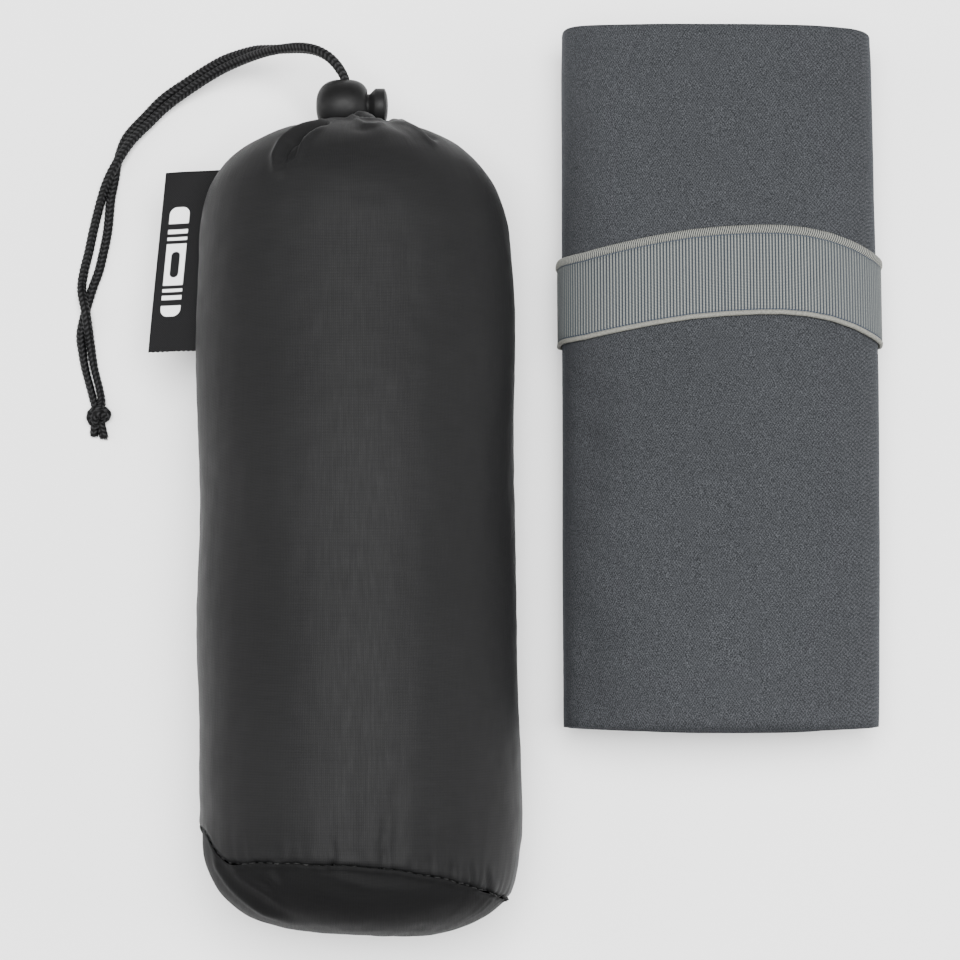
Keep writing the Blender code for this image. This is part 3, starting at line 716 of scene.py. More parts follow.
def seam_y(t):
    """Where the base seam runs: it slants down to the right."""
    tab = np.interp(wrap(t), [-math.pi, -2.4, -1.57, -0.8, 0.0, 0.28, 0.74, 1.04, 1.27, 1.48, 1.68, 1.90, 2.16, 2.38,
                              2.46, 2.556, 2.663, 2.787, math.pi],
                    [-101.8, -106.0, -112.5, -118.5, -122.6, -122.5, -120.3, -117.4, -115.9, -114.8, -113.9, -113.5,
                     -113.4, -113.5, -113.1, -111.0, -107.8, -104.2, -101.8])
    return tab + 0.14 * np.sin(9 * t + 1) + 0.10 * np.sin(23 * t + 2)


def s_at_y(y):
    ss = np.linspace(0, SKIN_S[-1], 4000)
    yy = smooth_table(ss, 1)
    yy = np.maximum.accumulate(yy)
    return np.interp(y, yy, ss)


wide_w = Waves(11, 3, 55, 120, 14)
mid_w = Waves(12, 3, 18, 40, 20)
tiny_w = Waves(13, 3, 5, 11, 30)
pucker_w = Waves(21, 1, 0.10, 0.30, 14)      # in radians round the seam
pucker_w2 = Waves(22, 1, 0.10, 0.34, 14)
gather_w = Waves(23, 1, 0.35, 0.85, 8)


def mouth_profile_x(x):
    """How far the front lip rises above or falls below its mean at x."""
    return np.interp(x, [-50, -46.7, -44, -41, -39.5, -38.1, -35.9, -34.4, -32.6, -31.1, -30.2, -29.3, -27.1, -25.9, -24.7, -22.7, -19.8, -18, -16, -12],
                     [0.8, 1.1, 1.3, 1.7, 2.2, 2.9, 3.3, 3.1, 3.0, 2.9, 2.2, 1.1, 1.1, 1.5, 2.1, 3.0, 2.5, 1.7, 1.1, 0.4])


def displaced(s, t):
    p = skin_point(s, t)
    n = grid_normals(p)
    x, y, z = p[..., 0], p[..., 1], p[..., 2]
    front = smoothstep(20, 44, z)
    low = smoothstep(14, 4, z)                       # the part that presses on the table
    d = 0.55 * wide_w(x, y, z) * (1 - low)
    d = d + 0.10 * mid_w(x, y * 0.6, z) * (1 - low)
    # long soft folds that run up from the base
    up = y - seam_y(t)
    facing = smoothstep(1.0, 0.72, np.abs(np.cos(t))) * smoothstep(30, 55, z)
    for cx, amp, wd, length in ((-58.0, -0.20, 3.0, 24), (-35.3, -0.42, 2.0, 42), (-30.4, 0.30, 2.0, 30), (-23.4, -0.40, 2.2, 34),
                                (-19.0, 0.26, 2.0, 26), (-13.6, -0.34, 1.8, 22), (-8.0, -0.30, 1.6, 18), (-45.5, 0.20, 3.0, 26)):
        d = d + amp * np.exp(-((x - cx - 0.04 * up) / wd) ** 2) * np.exp(-np.maximum(up, 0) / length) * smoothstep(-1, 4, up) * facing
    # puckers on both sides of the base seam
    above = np.exp(-np.maximum(up, 0) / 4.6) * (up >= 0)
    below = np.exp(-np.maximum(-up, 0) / 3.4) * (up < 0)
    pk = pucker_w(t)
    pk2 = pucker_w2(t)
    right = 0.55 + 0.45 * np.cos(t)
    amount = (0.30 + 0.70 * facing) * (0.45 + 0.75 * right) * (1 - low)
    d = d + (0.30 * (0.5 - np.abs(pk)) * above + 0.26 * (0.5 - np.abs(pk2)) * below) * amount
    d = d + (0.10 * np.exp(-((np.abs(up) - 1.8) / 1.3) ** 2)) * (1 - low)
    veiled = smoothstep(2.36, 2.50, wrap(t)) * smoothstep(2.95, 2.80, wrap(t))
    d = d - (0.55 + 0.16 * np.sin(t * 61) + 0.12 * pk) * (1 - 0.7 * veiled) * np.exp(-(up / (0.55 + 0.6 * veiled)) ** 2)
    # sharper puckers that start at the seam
    for cx, length, depth, wd in ((-39.5, 8.4, 1.15, 0.50), (-26.1, 13.0, 1.15, 0.50), (-33.0, 4.5, .5, .6), (-18.6, 4.0, .5, .5),
                                  (-12.9, 5.5, .7, .6), (-7.2, 5.5, .7, .6), (-1.8, 6.0, .7, .6), (-52.0, 3.0, .35, .5), (2.8, 6.0, .6, .5)):
        lean = cx + 0.03 * up + 0.25 * np.sin(up * 0.7)
        fade = np.exp(-(np.maximum(up, 0) / length) ** 4)
        g = np.exp(-((x - lean) / wd) ** 2) * fade
        side = np.exp(-((x - lean - 1.25) / 0.9) ** 2) * fade
        d = d + (-depth * g + 0.30 * depth * side) * (up > -0.2) * front
    # creases of the base panel, aslant at the left
    for line, depth, wd in ((((-70.5, -117.0), (-65.4, -121.5), (-59.0, -126.0), (-50.0, -129.6)), 0.75, 1.1),
                            (((-68.0, -114.6), (-63.0, -117.6), (-57.5, -121.0), (-53.5, -125.0)), 0.60, 0.9),
                            (((-60.5, -114.2), (-56.5, -116.8), (-53.6, -121.0)), 0.55, 0.9),
                            (((-50.0, -114.5), (-40.0, -116.5), (-30.0, -119.5), (-14.0, -120.6)), 0.40, 1.3),
                            (((-73.5, -108.0), (-72.0, -114.0), (-66.5, -121.0)), 0.55, 1.0)):
        q, sh = seg_dist(x, y, line)
        env = np.sin(math.pi * np.clip(sh, 0.03, 0.97))
        d = d - 1.25 * depth * np.exp(-(q / wd) ** 2) * env * front * (up < -0.6)
        q, sh = seg_dist(x - 1.1, y - 1.3, line)
        d = d + 0.45 * depth * np.exp(-(q / (wd * 1.1)) ** 2) * np.sin(math.pi * np.clip(sh, 0.03, 0.97)) * front * (up < -0.6)
    # gathers of the shoulder: folds fan out from the mouth
    r = smooth_table(s, 0) + 0 * t
    a = np.clip((40.0 - r) / 28.0, 0, 1) * (y > 60)
    g = gather_w(t) * 0.6 + np.sin(t * 11 + 0.6) * 0.5
    d = d + a ** 1.8 * 1.05 * np.where(g > 0, g, g * 1.4) * (1 - 0.75 * front)
    d = d + a ** 1.6 * 0.55 * (np.abs(np.sin(t * 10.5 + 0.9 * np.sin(t * 3))) - 0.5) * (1 - 0.8 * front)
    d = d + a ** 2.0 * 0.30 * np.sin(t * 13 + 2.2) * front
    # the deep curved fold at the left of the mouth, and the small one at the right
    up_f = front * (y > 76)
    inward = smoothstep(13.0, 20.5, r)

    def crease(line, depth, wd, skew=0.07, power=0.6):
        q, sh = seg_dist(x, y, line)
        env = np.clip(np.sin(math.pi * np.clip(sh * (1 - skew) + skew, 0.0, 1.0)), 0, 1) ** power
        return depth * np.exp(-(q / wd) ** 2) * env * up_f * inward

    d = d - crease(((-44.0, 97.0), (-47.4, 94.6), (-50.3, 91.8), (-53.2, 88.2), (-54.7, 84.8), (-55.0, 81.2)), 3.2, 0.95, 0.10, 0.7)
    d = d - crease(((-51.0, 89.6), (-52.2, 86.0), (-52.6, 82.6)), 1.3, 0.8, 0.05)
    d = d + crease(((-45.6, 98.0), (-49.7, 95.9), (-53.4, 93.0), (-56.4, 89.0), (-57.9, 84.4), (-57.5, 80.0), (-55.2, 77.8)), 1.5, 0.95, 0.06, 0.45)
    d = d + crease(((-51.4, 91.0), (-53.2, 87.2), (-53.9, 83.0)), 1.5, 0.55, 0.05)
    d = d + crease(((-45.0, 94.2), (-48.0, 91.2), (-50.3, 87.2), (-51.2, 82.0)), 0.9, 1.0, 0.10)
    d = d - crease(((-47.0, 97.9), (-52.5, 95.4), (-57.5, 90.6)), 0.45, 0.9, 0.2)
    d = d - crease(((-18.8, 98.2), (-16.0, 96.2), (-14.2, 93.8), (-12.4, 91.4)), 1.7, 0.95, 0.1)
    d = d + crease(((-24.4, 98.6), (-20.6, 97.6), (-17.0, 94.8), (-15.2, 91.8), (-12.2, 89.2)), 0.75, 1.0, 0.1, 0.4)
    d = d - crease(((-26.0, 97.0), (-23.5, 95.2), (-19.8, 92.6), (-17.5, 88.5)), 0.35, 1.5, 0.1)
    d = d + crease(((-36.4, 99.6), (-35.0, 97.2), (-33.0, 95.0), (-29.8, 95.0), (-27.0, 96.8)), 0.75, 0.8, 0.3, 0.4)
    d = d - crease(((-36.0, 93.6), (-33.0, 92.8), (-29.6, 93.2)), 0.30, 1.2, 0.1)
    # the pocket below the turned lip, and the bright edge in front of it
    q, sh = seg_dist(x, r, ((-35.4, 16.5), (-34.4, 19.8), (-31.8, 21.6), (-29.2, 20.2), (-27.4, 16.5)))
    d = d - 1.9 * np.exp(-(q / 1.25) ** 2) * front * (y > 76)
    q, sh = seg_dist(x, r, ((-37.0, 17.5), (-35.6, 21.4), (-31.8, 24.0), (-28.6, 22.8)))
    d = d + 0.75 * np.exp(-(q / 1.1) ** 2) * front * (y > 76)
    d = d + 0.04 * tiny_w(x, y, z) * (1 - low)
    out = p + n * d[..., None]
    # the lip follows its own outline
    lipness = smoothstep(23, 13.2, r) * (y > 85)
    target = np.where(z > MOUTH_Z, mouth_profile_x(x), 0.7 * np.sin(t * 7))
    out[..., 1] += lipness * target
    out[..., 2] = np.maximum(out[..., 2], 0.06)
    return out


def body_uv(s, t, r=43.0):
    return np.stack([t * r / 0.36 * 0.36 + 0 * s, s + 0 * t], -1)


def build_pouch():
    nu = 300
    t = (np.arange(nu) / nu * 2 * math.pi)[:, None]
    # tube and shoulder
    s0 = s_at_y(seam_y(t))
    s_end = SKIN_S[-1]
    k = np.linspace(0, 1, 190)[None]
    near = 26.0
    # finer rows near the seam and near the mouth
    warp = k + 0.045 * np.sin(2 * math.pi * k) * -1.0
    s = s0 + (s_end - s0) * (0.55 * k + 0.45 * (0.5 - 0.5 * np.cos(math.pi * k)))
    p = displaced(s, t + 0 * s)
    # the cloth rolls over the lip and runs down into the mouth
    lip = p[:, -1, :]
    c = np.array([-38.0, 0.0, MOUTH_Z])
    rad = lip - c
    rad[:, 1] = 0
    R = np.linalg.norm(rad, axis=1, keepdims=True)
    dirn = rad / R
    tt = t[:, 0]
    ruff = 0.5 * np.sin(9 * tt + 1) + 0.35 * np.sin(14 * tt + 2)
    inner = []
    for i, (dr, dy) in enumerate(((-0.7, 0.42), (-1.4, 0.40), (-2.0, -0.05), (-2.3, -0.9), (-2.5, -2.2), (-2.6, -3.8), (-2.7, -5.5))):
        q = lip + dirn * (dr + 0.35 * ruff[:, None] * min(1, i / 3))
        q[:, 1] += dy
        inner.append(q)
    p = np.concatenate([p, np.stack(inner, 1)], axis=1)
    tg = t + 0 * s
    uv = body_uv(s, tg)
    extra = np.stack([uv[:, -1, :] + np.array([0, 1.0 * (i + 1)]) for i in range(len(inner))], 1)
    uv = np.concatenate([uv, extra], 1)
    body = grid_object("pouch_tube", p, POLY, close_u=True, flip=True, uv=uv)
    # base panel, from the seam to the middle of the base
    k = np.linspace(0, 1, 60)[None]
    sb = s0 * (1 - k ** 0.9)
    sb = np.maximum(sb, 0.0)
    pb = displaced(sb, t + 0 * sb)
    base_uv = np.stack([pb[..., 0], pb[..., 2] + pb[..., 1]], -1)
    verts = w(pb).reshape(-1, 3)
    faces = [tuple(f) for f in grid_faces(nu, 60, close_u=True)]
    hub = len(verts)
    centre = w(pb[:, -1, :].mean(0))
    verts = np.vstack([verts, centre])
    base_uv = np.vstack([base_uv.reshape(-1, 2), base_uv[:, -1].mean(0)])
    for i in range(nu):
        faces.append((i * 60 + 59, ((i + 1) % nu) * 60 + 59, hub))
    # the base panel takes the darker polyester copy, whose colour carries painted shade
    base = make_object("pouch_base_panel", verts, faces, POLY_BASE_SHADED, base_uv)
    return body, base, p


body, base, body_pts = build_pouch()
for o, node in ((body, "pouch_body"), (base, "pouch_base")):
    solidify(o, 0.35)
    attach(o, "pouch")
    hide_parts(node)


def build_base_stitches():
    """Short thread stitches that lie in the base seam's groove."""
    parts = []
    n = 2400
    tt = (np.arange(n) / n * 2 * math.pi)[:, None]
    s = s_at_y(seam_y(tt)) + np.array([[-0.5, 0.0, 0.5]])
    grid = displaced(s, tt + 0 * s)
    out = grid_normals(grid)[:, 1]
    line = grid[:, 1]
    L = np.concatenate([[0], np.cumsum(np.linalg.norm(np.diff(line, axis=0), axis=1))])
    count = int(L[-1] / 2.9)
    for i in range(count):
        a, b = (i + 0.14) * L[-1] / count, (i + 0.84) * L[-1] / count
        fs = np.arange(7) / 6
        q = a + (b - a) * fs
        p = np.stack([np.interp(q, L, line[:, k]) for k in range(3)], -1)
        o = np.stack([np.interp(q, L, out[:, k]) for k in range(3)], -1)
        mid = p + o * (-0.10 + 0.42 * np.sin(math.pi * fs))[:, None]
        mid[:, 2] = np.maximum(mid[:, 2], 0.3)
        at = (a + b) / 2 / L[-1] * 2 * math.pi
        if 2.36 < at < 2.92:
            mid = mid - o * 0.30                   # sunk below the cloth that folds over it
        parts.append(tube_part(mid, 0.20 * (0.55 + 0.45 * np.sin(math.pi * np.clip(fs, .08, .92))), 6))
    return join_parts("base_stitching", parts, THREAD)


# ------------------------------------------------------------------ tubes


def frames(path):
    d = np.gradient(path, axis=0)
    d /= np.linalg.norm(d, axis=1, keepdims=True)
    up = np.array([0.0, 0.0, 1.0])
    n = up - d[0] * d[0].dot(up)
    if np.linalg.norm(n) < 0.1:
        n = np.array([1.0, 0, 0]) - d[0] * d[0][0]
    n /= np.linalg.norm(n)
    N = [n]
    for i in range(1, len(path)):
        n = N[-1] - d[i] * d[i].dot(N[-1])
        n /= np.linalg.norm(n)
        N.append(n)
    N = np.array(N)
    return d, N, np.cross(d, N)


def tube_part(path, radius, n, relief=None):
    """(verts in metres, faces) of a capped tube; radius may vary along it."""
    d, N, B = frames(path)
    a = np.arange(n) / n * 2 * math.pi
    rad = np.broadcast_to(np.asarray(radius, float).reshape(-1, 1), (len(path), n)).copy()
    if relief is not None:
        rad = rad + relief
    ring = path[:, None] + rad[..., None] * (N[:, None] * np.cos(a)[None, :, None] + B[:, None] * np.sin(a)[None, :, None])
    verts = w(ring).reshape(-1, 3)
    m = len(path)
    faces = [(int(f[0]), int(f[1]), int(f[2]), int(f[3])) for f in grid_faces(m, n, close_v=True, flip=True)]
    verts = np.vstack([verts, w(path[0] - d[0] * radius_at(radius, 0) * 0.25), w(path[-1] + d[-1] * radius_at(radius, -1) * 0.25)])
    for j in range(n):
        faces.append(((j + 1) % n, j, m * n))
        faces.append(((m - 1) * n + j, (m - 1) * n + (j + 1) % n, m * n + 1))
    return verts, faces


def radius_at(radius, i):
    r = np.asarray(radius, float).reshape(-1)
    return r[i] if len(r) > 1 else r[0]


def catmull(points, step):
    pts = [np.array(p, float) for p in points]
    ext = [pts[0] * 2 - pts[1]] + pts + [pts[-1] * 2 - pts[-2]]
    fine = []
    for i in range(1, len(ext) - 2):
        p0, p1, p2, p3 = ext[i - 1:i + 3]
        t0 = 0.0
        t1 = t0 + max(1e-6, np.linalg.norm(p1 - p0)) ** 0.5
        t2 = t1 + max(1e-6, np.linalg.norm(p2 - p1)) ** 0.5
        t3 = t2 + max(1e-6, np.linalg.norm(p3 - p2)) ** 0.5
        for k in range(24):
            t = t1 + (t2 - t1) * k / 24
            a1 = p0 * ((t1 - t) / (t1 - t0)) + p1 * ((t - t0) / (t1 - t0))
            a2 = p1 * ((t2 - t) / (t2 - t1)) + p2 * ((t - t1) / (t2 - t1))
            a3 = p2 * ((t3 - t) / (t3 - t2)) + p3 * ((t - t2) / (t3 - t2))
            b1 = a1 * ((t2 - t) / (t2 - t0)) + a2 * ((t - t0) / (t2 - t0))
            b2 = a2 * ((t3 - t) / (t3 - t1)) + a3 * ((t - t1) / (t3 - t1))
            fine.append(b1 * ((t2 - t) / (t2 - t1)) + b2 * ((t - t1) / (t2 - t1)))
    fine.append(pts[-1])
    fine = np.array(fine)
    L = np.concatenate([[0], np.cumsum(np.linalg.norm(np.diff(fine, axis=0), axis=1))])
    n = max(3, int(round(L[-1] / step)) + 1)
    q = np.linspace(0, L[-1], n)
    out = np.stack([np.interp(q, L, fine[:, i]) for i in range(3)], -1)
    # take the last corners out of it
    for _ in range(6):
        out[1:-1] = 0.25 * out[:-2] + 0.5 * out[1:-1] + 0.25 * out[2:]
    return out, L[-1]


CORD_R = 1.38


def braid_relief(length_pts, n, step, phase=0.0):
    """Knitted cover: wales of stacked V stitches, as height and as painted shade in the grooves and painted highlight
    on the ridges.
    """
    s = np.arange(length_pts)[:, None] * step
    th = np.arange(n)[None] / n
    tri = np.abs(((th * 3 + 0.50 + phase) % 1.0) - 0.5) * 2      # 0 in a wale's middle, 1 between wales
    a = s / 1.45 + 0.62 * tri + phase
    ridge = np.abs(np.sin(math.pi * a)) ** 0.8
    return ridge * (1 - 0.55 * np.exp(-((1 - tri) / 0.16) ** 2) - 0.30 * np.exp(-(tri / 0.12) ** 2))


def braided(name, path_pts, step=0.26, n=30, radius=CORD_R, phase=0.0, slim=False):
    path, length = catmull(path_pts, step)
    m = len(path)
    real = length / (m - 1)
    h = braid_relief(m, n, real, phase)
    rel = 0.26 * (h - 0.58)
    rad = np.full(m, radius)
    if slim:                                   # squeezed in the lock and drawn thin at the knot
        rad = rad - 0.14 * smoothstep(12.0, 6.0, np.arange(m) * real)
        rad = rad - 0.24 * smoothstep(length - 26.0, length - 10.0, np.arange(m) * real)
    verts, faces = tube_part(path, rad, n, rel)
    uv = np.stack(np.meshgrid(np.arange(m) * real, np.arange(n) / n, indexing="ij"), -1)[..., ::-1].reshape(-1, 2)
    uv = np.vstack([uv, uv[0], uv[-1]])
    # the relief also goes into the colour: painted shade in the grooves, painted highlight on the ridges
    tone = np.concatenate([h.ravel(), [0.5, 0.5]])
    return (verts, faces, uv, tone), path, length


def braid_object(name, parts):
    verts, faces, uvs, relief_painted_shades, base = [], [], [], [], 0
    for v, f, uv, tone in parts:
        verts.append(v)
        faces.extend([[i + base for i in face] for face in f])
        uvs.append(uv)
        relief_painted_shades.append(tone)
        base += len(v)
    obj = make_object(name, np.concatenate(verts), faces, CORD, np.concatenate(uvs))
    # the relief attribute carries painted shade and painted highlight into the cord colour
    attr = obj.data.attributes.new("relief", "FLOAT", "POINT")
    attr.data.foreach_set("value", np.concatenate(relief_painted_shades).astype(np.float32))
    return obj


CORD_REST_Z = 1.49
STRAND_A = [
    (-39.9, 109.0, 39.85), (-39.9, 112.5, 39.85), (-39.7, 115.8, 39.9),
    (-41.6, 119.6, 40.1), (-44.3, 122.8, 39.9), (-48.0, 125.6, 38.1),
    (-52.7, 127.7, 34.7), (-58.4, 129.1, 29.2), (-63.2, 129.7, 24.8),
    (-67.9, 129.9, 20.1), (-73.7, 129.4, 14.9), (-79.5, 128.0, 10.9),
    (-89.8, 123.2, 5.6), (-97.0, 118.4, 3.4), (-101.7, 113.8, 3.0),
    (-107.3, 107.6, 3.6), (-111.0, 101.5, 4.2), (-114.0, 95.7, 3.7),
    (-116.0, 90.4, 2.2), (-118.5, 80.0, CORD_REST_Z),
    (-119.7, 73.5, CORD_REST_Z), (-121.1, 67.1, CORD_REST_Z),
    (-121.6, 62.8, 1.9), (-121.2, 59.6, 3.4), (-119.9, 54.1, 4.3),
    (-119.2, 49.6, 3.4), (-118.7, 45.2, 1.6), (-117.3, 37.3, CORD_REST_Z),
    (-115.4, 30.1, CORD_REST_Z), (-114.6, 26.0, 2.6), (-114.9, 23.8, 3.6)]
STRAND_B = [
    (-39.9, 109.0, 37.15), (-39.9, 112.5, 37.15), (-39.7, 116.2, 37.2),
    (-41.7, 120.4, 37.4), (-44.4, 123.6, 36.8), (-48.1, 126.4, 34.5),
    (-52.8, 128.6, 30.4), (-58.6, 130.3, 24.9), (-63.4, 131.4, 21.1),
    (-68.1, 132.4, 17.4), (-73.8, 132.3, 13.3), (-79.7, 131.2, 9.7),
    (-89.9, 126.6, 4.5), (-97.8, 121.7, 2.3), (-103.2, 116.3, 1.45),
    (-109.0, 109.4, CORD_REST_Z), (-111.4, 102.3, CORD_REST_Z),
    (-112.3, 96.1, CORD_REST_Z), (-113.3, 90.4, CORD_REST_Z),
    (-114.1, 80.0, CORD_REST_Z), (-115.2, 73.5, CORD_REST_Z),
    (-116.6, 67.1, CORD_REST_Z), (-118.0, 63.0, CORD_REST_Z),
    (-118.7, 60.7, CORD_REST_Z), (-120.3, 54.7, CORD_REST_Z),
    (-121.6, 47.2, CORD_REST_Z), (-121.0, 42.2, CORD_REST_Z),
    (-120.1, 37.3, CORD_REST_Z), (-118.1, 30.1, CORD_REST_Z),
    (-116.9, 26.0, 1.6), (-115.9, 23.8, 2.0)]

part_a, path_a, len_a = braided("a", STRAND_A, slim=True)
part_b, path_b, len_b = braided("b", STRAND_B, phase=0.3, slim=True)
strand_a = braid_object("drawcord_a", [part_a])
strand_b = braid_object("drawcord_b", [part_b])


def build_knot():
    """Overhand knot of both strands, pulled tight: a wide round lobe at the
    left and a small one at the right, with the two cut ends below."""
    parts = []
    cx, cy = -115.4, 21.9
    for k, pts in enumerate((
            ((1.2, 1.4, 3.4), (0.2, 1.9, 4.1), (-1.2, 1.8, 4.1), (-2.3, 0.9, 3.5), (-2.65, -0.3, 2.8), (-2.1, -1.5, 2.1), (-1.0, -2.1, 1.6), (0.2, -1.9, 1.4)),
            ((2.0, 0.3, 3.2), (1.1, 0.8, 4.4), (-0.1, 0.75, 4.95), (-0.95, -0.1, 4.6), (-1.0, -1.2, 3.7), (-0.3, -2.0, 2.7), (0.5, -2.2, 1.9)),
            ((-0.4, 1.9, 2.2), (0.9, 2.1, 2.7), (2.1, 1.7, 3.0), (2.75, 0.8, 3.0), (2.4, -0.1, 2.6), (1.4, -0.5, 2.0), (0.3, -0.4, 1.6)),
            ((0.9, -1.6, 1.6), (0.8, -0.7, 2.4), (0.9, 0.1, 3.2), (1.7, 0.7, 3.7), (1.9, 1.1, 2.6)))):
        path, length = catmull([(cx + x, cy + y, z) for x, y, z in pts], 0.22)
        m = len(path)
        h = braid_relief(m, 24, length / (m - 1), 0.2 * k)
        verts, faces = tube_part(path, np.full(m, 1.17), 24, 0.20 * (h - 0.58))
        uv = np.stack(np.meshgrid(np.arange(m) * length / (m - 1), np.arange(24) / 24, indexing="ij"), -1)[..., ::-1].reshape(-1, 2)
        uv = np.vstack([uv, uv[0], uv[-1]])
        # the knot's relief is painted shade and painted highlight in its colour too
        parts.append((verts, faces, uv, np.concatenate([h.ravel(), [.5, .5]])))
    knot = braid_object("drawcord_knot_turns", parts)
    tails = []
    for k, pts in enumerate((((-116.2, 20.3, 1.9), (-116.7, 18.7, 1.5), (-116.8, 17.2, 1.48), (-116.7, 16.3, 1.48)),
                             ((-114.9, 20.3, 2.4), (-114.6, 18.8, 1.9), (-114.2, 17.2, 1.50), (-113.8, 15.6, 1.48)))):
        part, path, _ = braided("t", pts, step=0.25, radius=1.32, phase=0.4 * k)
        tails.append(part)
    tail = braid_object("drawcord_tails", tails)
    # loose fibres at the cut ends
    rng = np.random.default_rng(7)
    tufts = []
    for ex, ey, dx in ((-116.7, 16.3, 0.02), (-113.8, 15.6, 0.26)):
        for i in range(26):
            a, rr = rng.uniform(0, 2 * math.pi), 1.0 * math.sqrt(rng.uniform(0, 1))
            p0 = np.array([ex + rr * math.cos(a), ey + 0.25, 1.35 + 0.95 * rr * math.sin(a)])
            dirn = np.array([dx + rng.normal(0, 0.22), -1.0, rng.normal(0, 0.18)])
            L = rng.uniform(0.35, 0.95)
            p1 = p0 + dirn * L * 0.5
            p2 = p0 + dirn * L + np.array([rng.normal(0, 0.1), 0, -0.08])
            p2[2] = max(p2[2], 0.15)
            tufts.append(tube_part(np.array([p0, p1, p2]), np.array([0.07, 0.065, 0.03]), 4))
    fibres = join_parts("drawcord_cut_fibres", tufts, THREAD)
    return knot, tail, fibres


knot, tail, fibres = build_knot()

# neck strands: out of the casing, into the mouth and up through the lock
MOUTH_X = -40.2
necks = []
for nm, sgn in (("a", +1), ("b", -1)):
    route = [(-9.85, 100.25, 2.85), (-9.3, 100.2, 1.75), (-7.9, 99.9, 1.4), (-6.0, 98.5, 1.35),
             (-4.2, 96.5, 1.35), (-2.2, 95.4, 1.35), (-0.5, 96.2, 1.35), (0.2, 98.2, 1.35),
             (0.3, 101.0, 1.35), (0.3, 105.0, 1.35), (0.3, 108.9, 1.35)]
    part, path, _ = braided("n", [(MOUTH_X + x, y, MOUTH_Z + sgn * z) for x, y, z in route], step=0.4, n=20, radius=1.18)
    o = braid_object("drawcord_neck_strand_" + nm, [part])
    tuple(w((-39.9, 97.5, MOUTH_Z)))
    tuple(w((-39.9, 108.0, MOUTH_Z)))
    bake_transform(o)
    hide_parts("drawcord_neck_" + nm)
    necks.append(o)
for o, node, path, length in ((strand_a, "drawcord_strand_a", path_a, len_a), (strand_b, "drawcord_strand_b", path_b, len_b)):
    tuple(w((-44.0, 122.0, 38.0)))
    tuple(w((-104.0, 108.0, 3.0)))
    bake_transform(o)
    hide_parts(node)
for o in (knot, tail, fibres):
    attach(o, "pouch")
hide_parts("drawcord_knot")
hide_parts("drawcord_tail_a", "drawcord_tail_b")
EXIT = tuple(w((-39.8, 116.2, 38.5)))
[tuple(p) for p in w(path_a)]
[tuple(p) for p in w(path_b)]

stitches = build_base_stitches()
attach(stitches, "pouch")

# ------------------------------------------------------------------ mouth hem


def casing_tilt(z):
    """The front of the casing is pulled down, as the lip over it is."""
    return -0.30 * np.log1p(np.exp((z - MOUTH_Z) / 1.5)) * 1.5


def build_loop():
    """The part of the cord that runs round inside the casing."""
    a = np.linspace(math.radians(180 - 23), math.radians(-180 + 23), 150)
    x, z = MOUTH_X + 10.25 * np.cos(a), MOUTH_Z + 10.25 * np.sin(a)
    path = np.stack([x, 100.2 + casing_tilt(z), z], -1)
    part, _, _ = braided("l", path, step=0.5, n=16, radius=1.15)
    return braid_object("drawcord_in_casing", [part])


loop = build_loop()
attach(loop, "pouch")
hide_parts("drawcord_hem_loop")


def build_hem():
    """The gathered casing: a ruffled ring of doubled cloth round the cord."""
    nu, nv = 220, 26
    t = (np.arange(nu) / nu * 2 * math.pi)[:, None]
    v = (np.arange(nv) / nv * 2 * math.pi)[None]
    folds = 0.55 * np.sin(9 * t + 0.5) + 0.35 * np.sin(16 * t + 1.4) + 0.2 * np.sin(23 * t)
    R = 10.15 + 0.35 * folds
    a = 1.72 + 0.16 * np.sin(16 * t + 2)
    b = 2.25 + 0.25 * folds
    x = MOUTH_X + (R + a * np.cos(v)) * np.cos(t)
    z = MOUTH_Z + (R + a * np.cos(v)) * np.sin(t)
    y = 100.2 + casing_tilt(z) + b * np.sin(v) + 0.25 * folds * (1 + np.sin(v))
    p = np.stack([x, y + 0 * x, z], -1)
    uv = np.stack([t * 12 + 0 * v, v * 2.0 + 0 * t], -1)
    return grid_object("mouth_casing", p, POLY_HEM, close_u=True, close_v=True, flip=True, uv=uv)


hem = build_hem()
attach(hem, "pouch")
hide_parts("pouch_mouth_hem")

# ------------------------------------------------------------------ label


def build_label():
    nv, nu = 60, 22
    f = np.linspace(0, 1, nv)[:, None]
    g = np.linspace(0, 1, nu)[None]
    y_in = 35.5 + (90.1 - 35.5) * f
    s_in = s_at_y(y_in)
    r = smooth_table(s_in, 0)
    cx = smooth_table(s_in, 2)
    p_ = 2.0 + 0.25 * np.minimum(1, r / 45.0)
    zo = np.abs(35.0 - mid_height(r)) / half_height(r)
    x_in = cx - r * (1 - zo ** p_) ** (1 / p_) - 0.25
    x_out = -97.3 + (-93.1 + 97.3) * f
    y_out = 35.9 + (90.2 - 35.9) * f
    x = x_in + (x_out - x_in) * g
    y = y_in + (y_out - y_in) * g
    z = 35.0 - 4.0 * g ** 1.3 + 0.35 * np.sin(f * 5 + 0.5) * g + 0.25 * np.sin(g * 6 + f * 3)
    fray = 0.12 * np.sin(g * 60) * (f < 0.001)
    p = np.stack([x, y + fray, z], -1)
    uv = np.stack([x - (x_out + 0 * g), (f * 54.4) + 0 * g], -1)
    lab = grid_object("label_tab", p, LABEL, uv=uv, flip=False)
    lab = solidify(lab, 0.45, 0.0)
    bev = lab.modifiers.new("edge", "BEVEL")
    bev.width = 0.08 * MM
    bev.segments = 1
    bev.limit_method = "ANGLE"
    return applied(lab)


label = build_label()
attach(label, "pouch")
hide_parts("side_label")

# ------------------------------------------------------------------ cord lock
BALL = np.array([-40.4, 108.4, 38.5])
BALL_R, CORD_DX, PRESS = 7.85, 0.5, 2.0


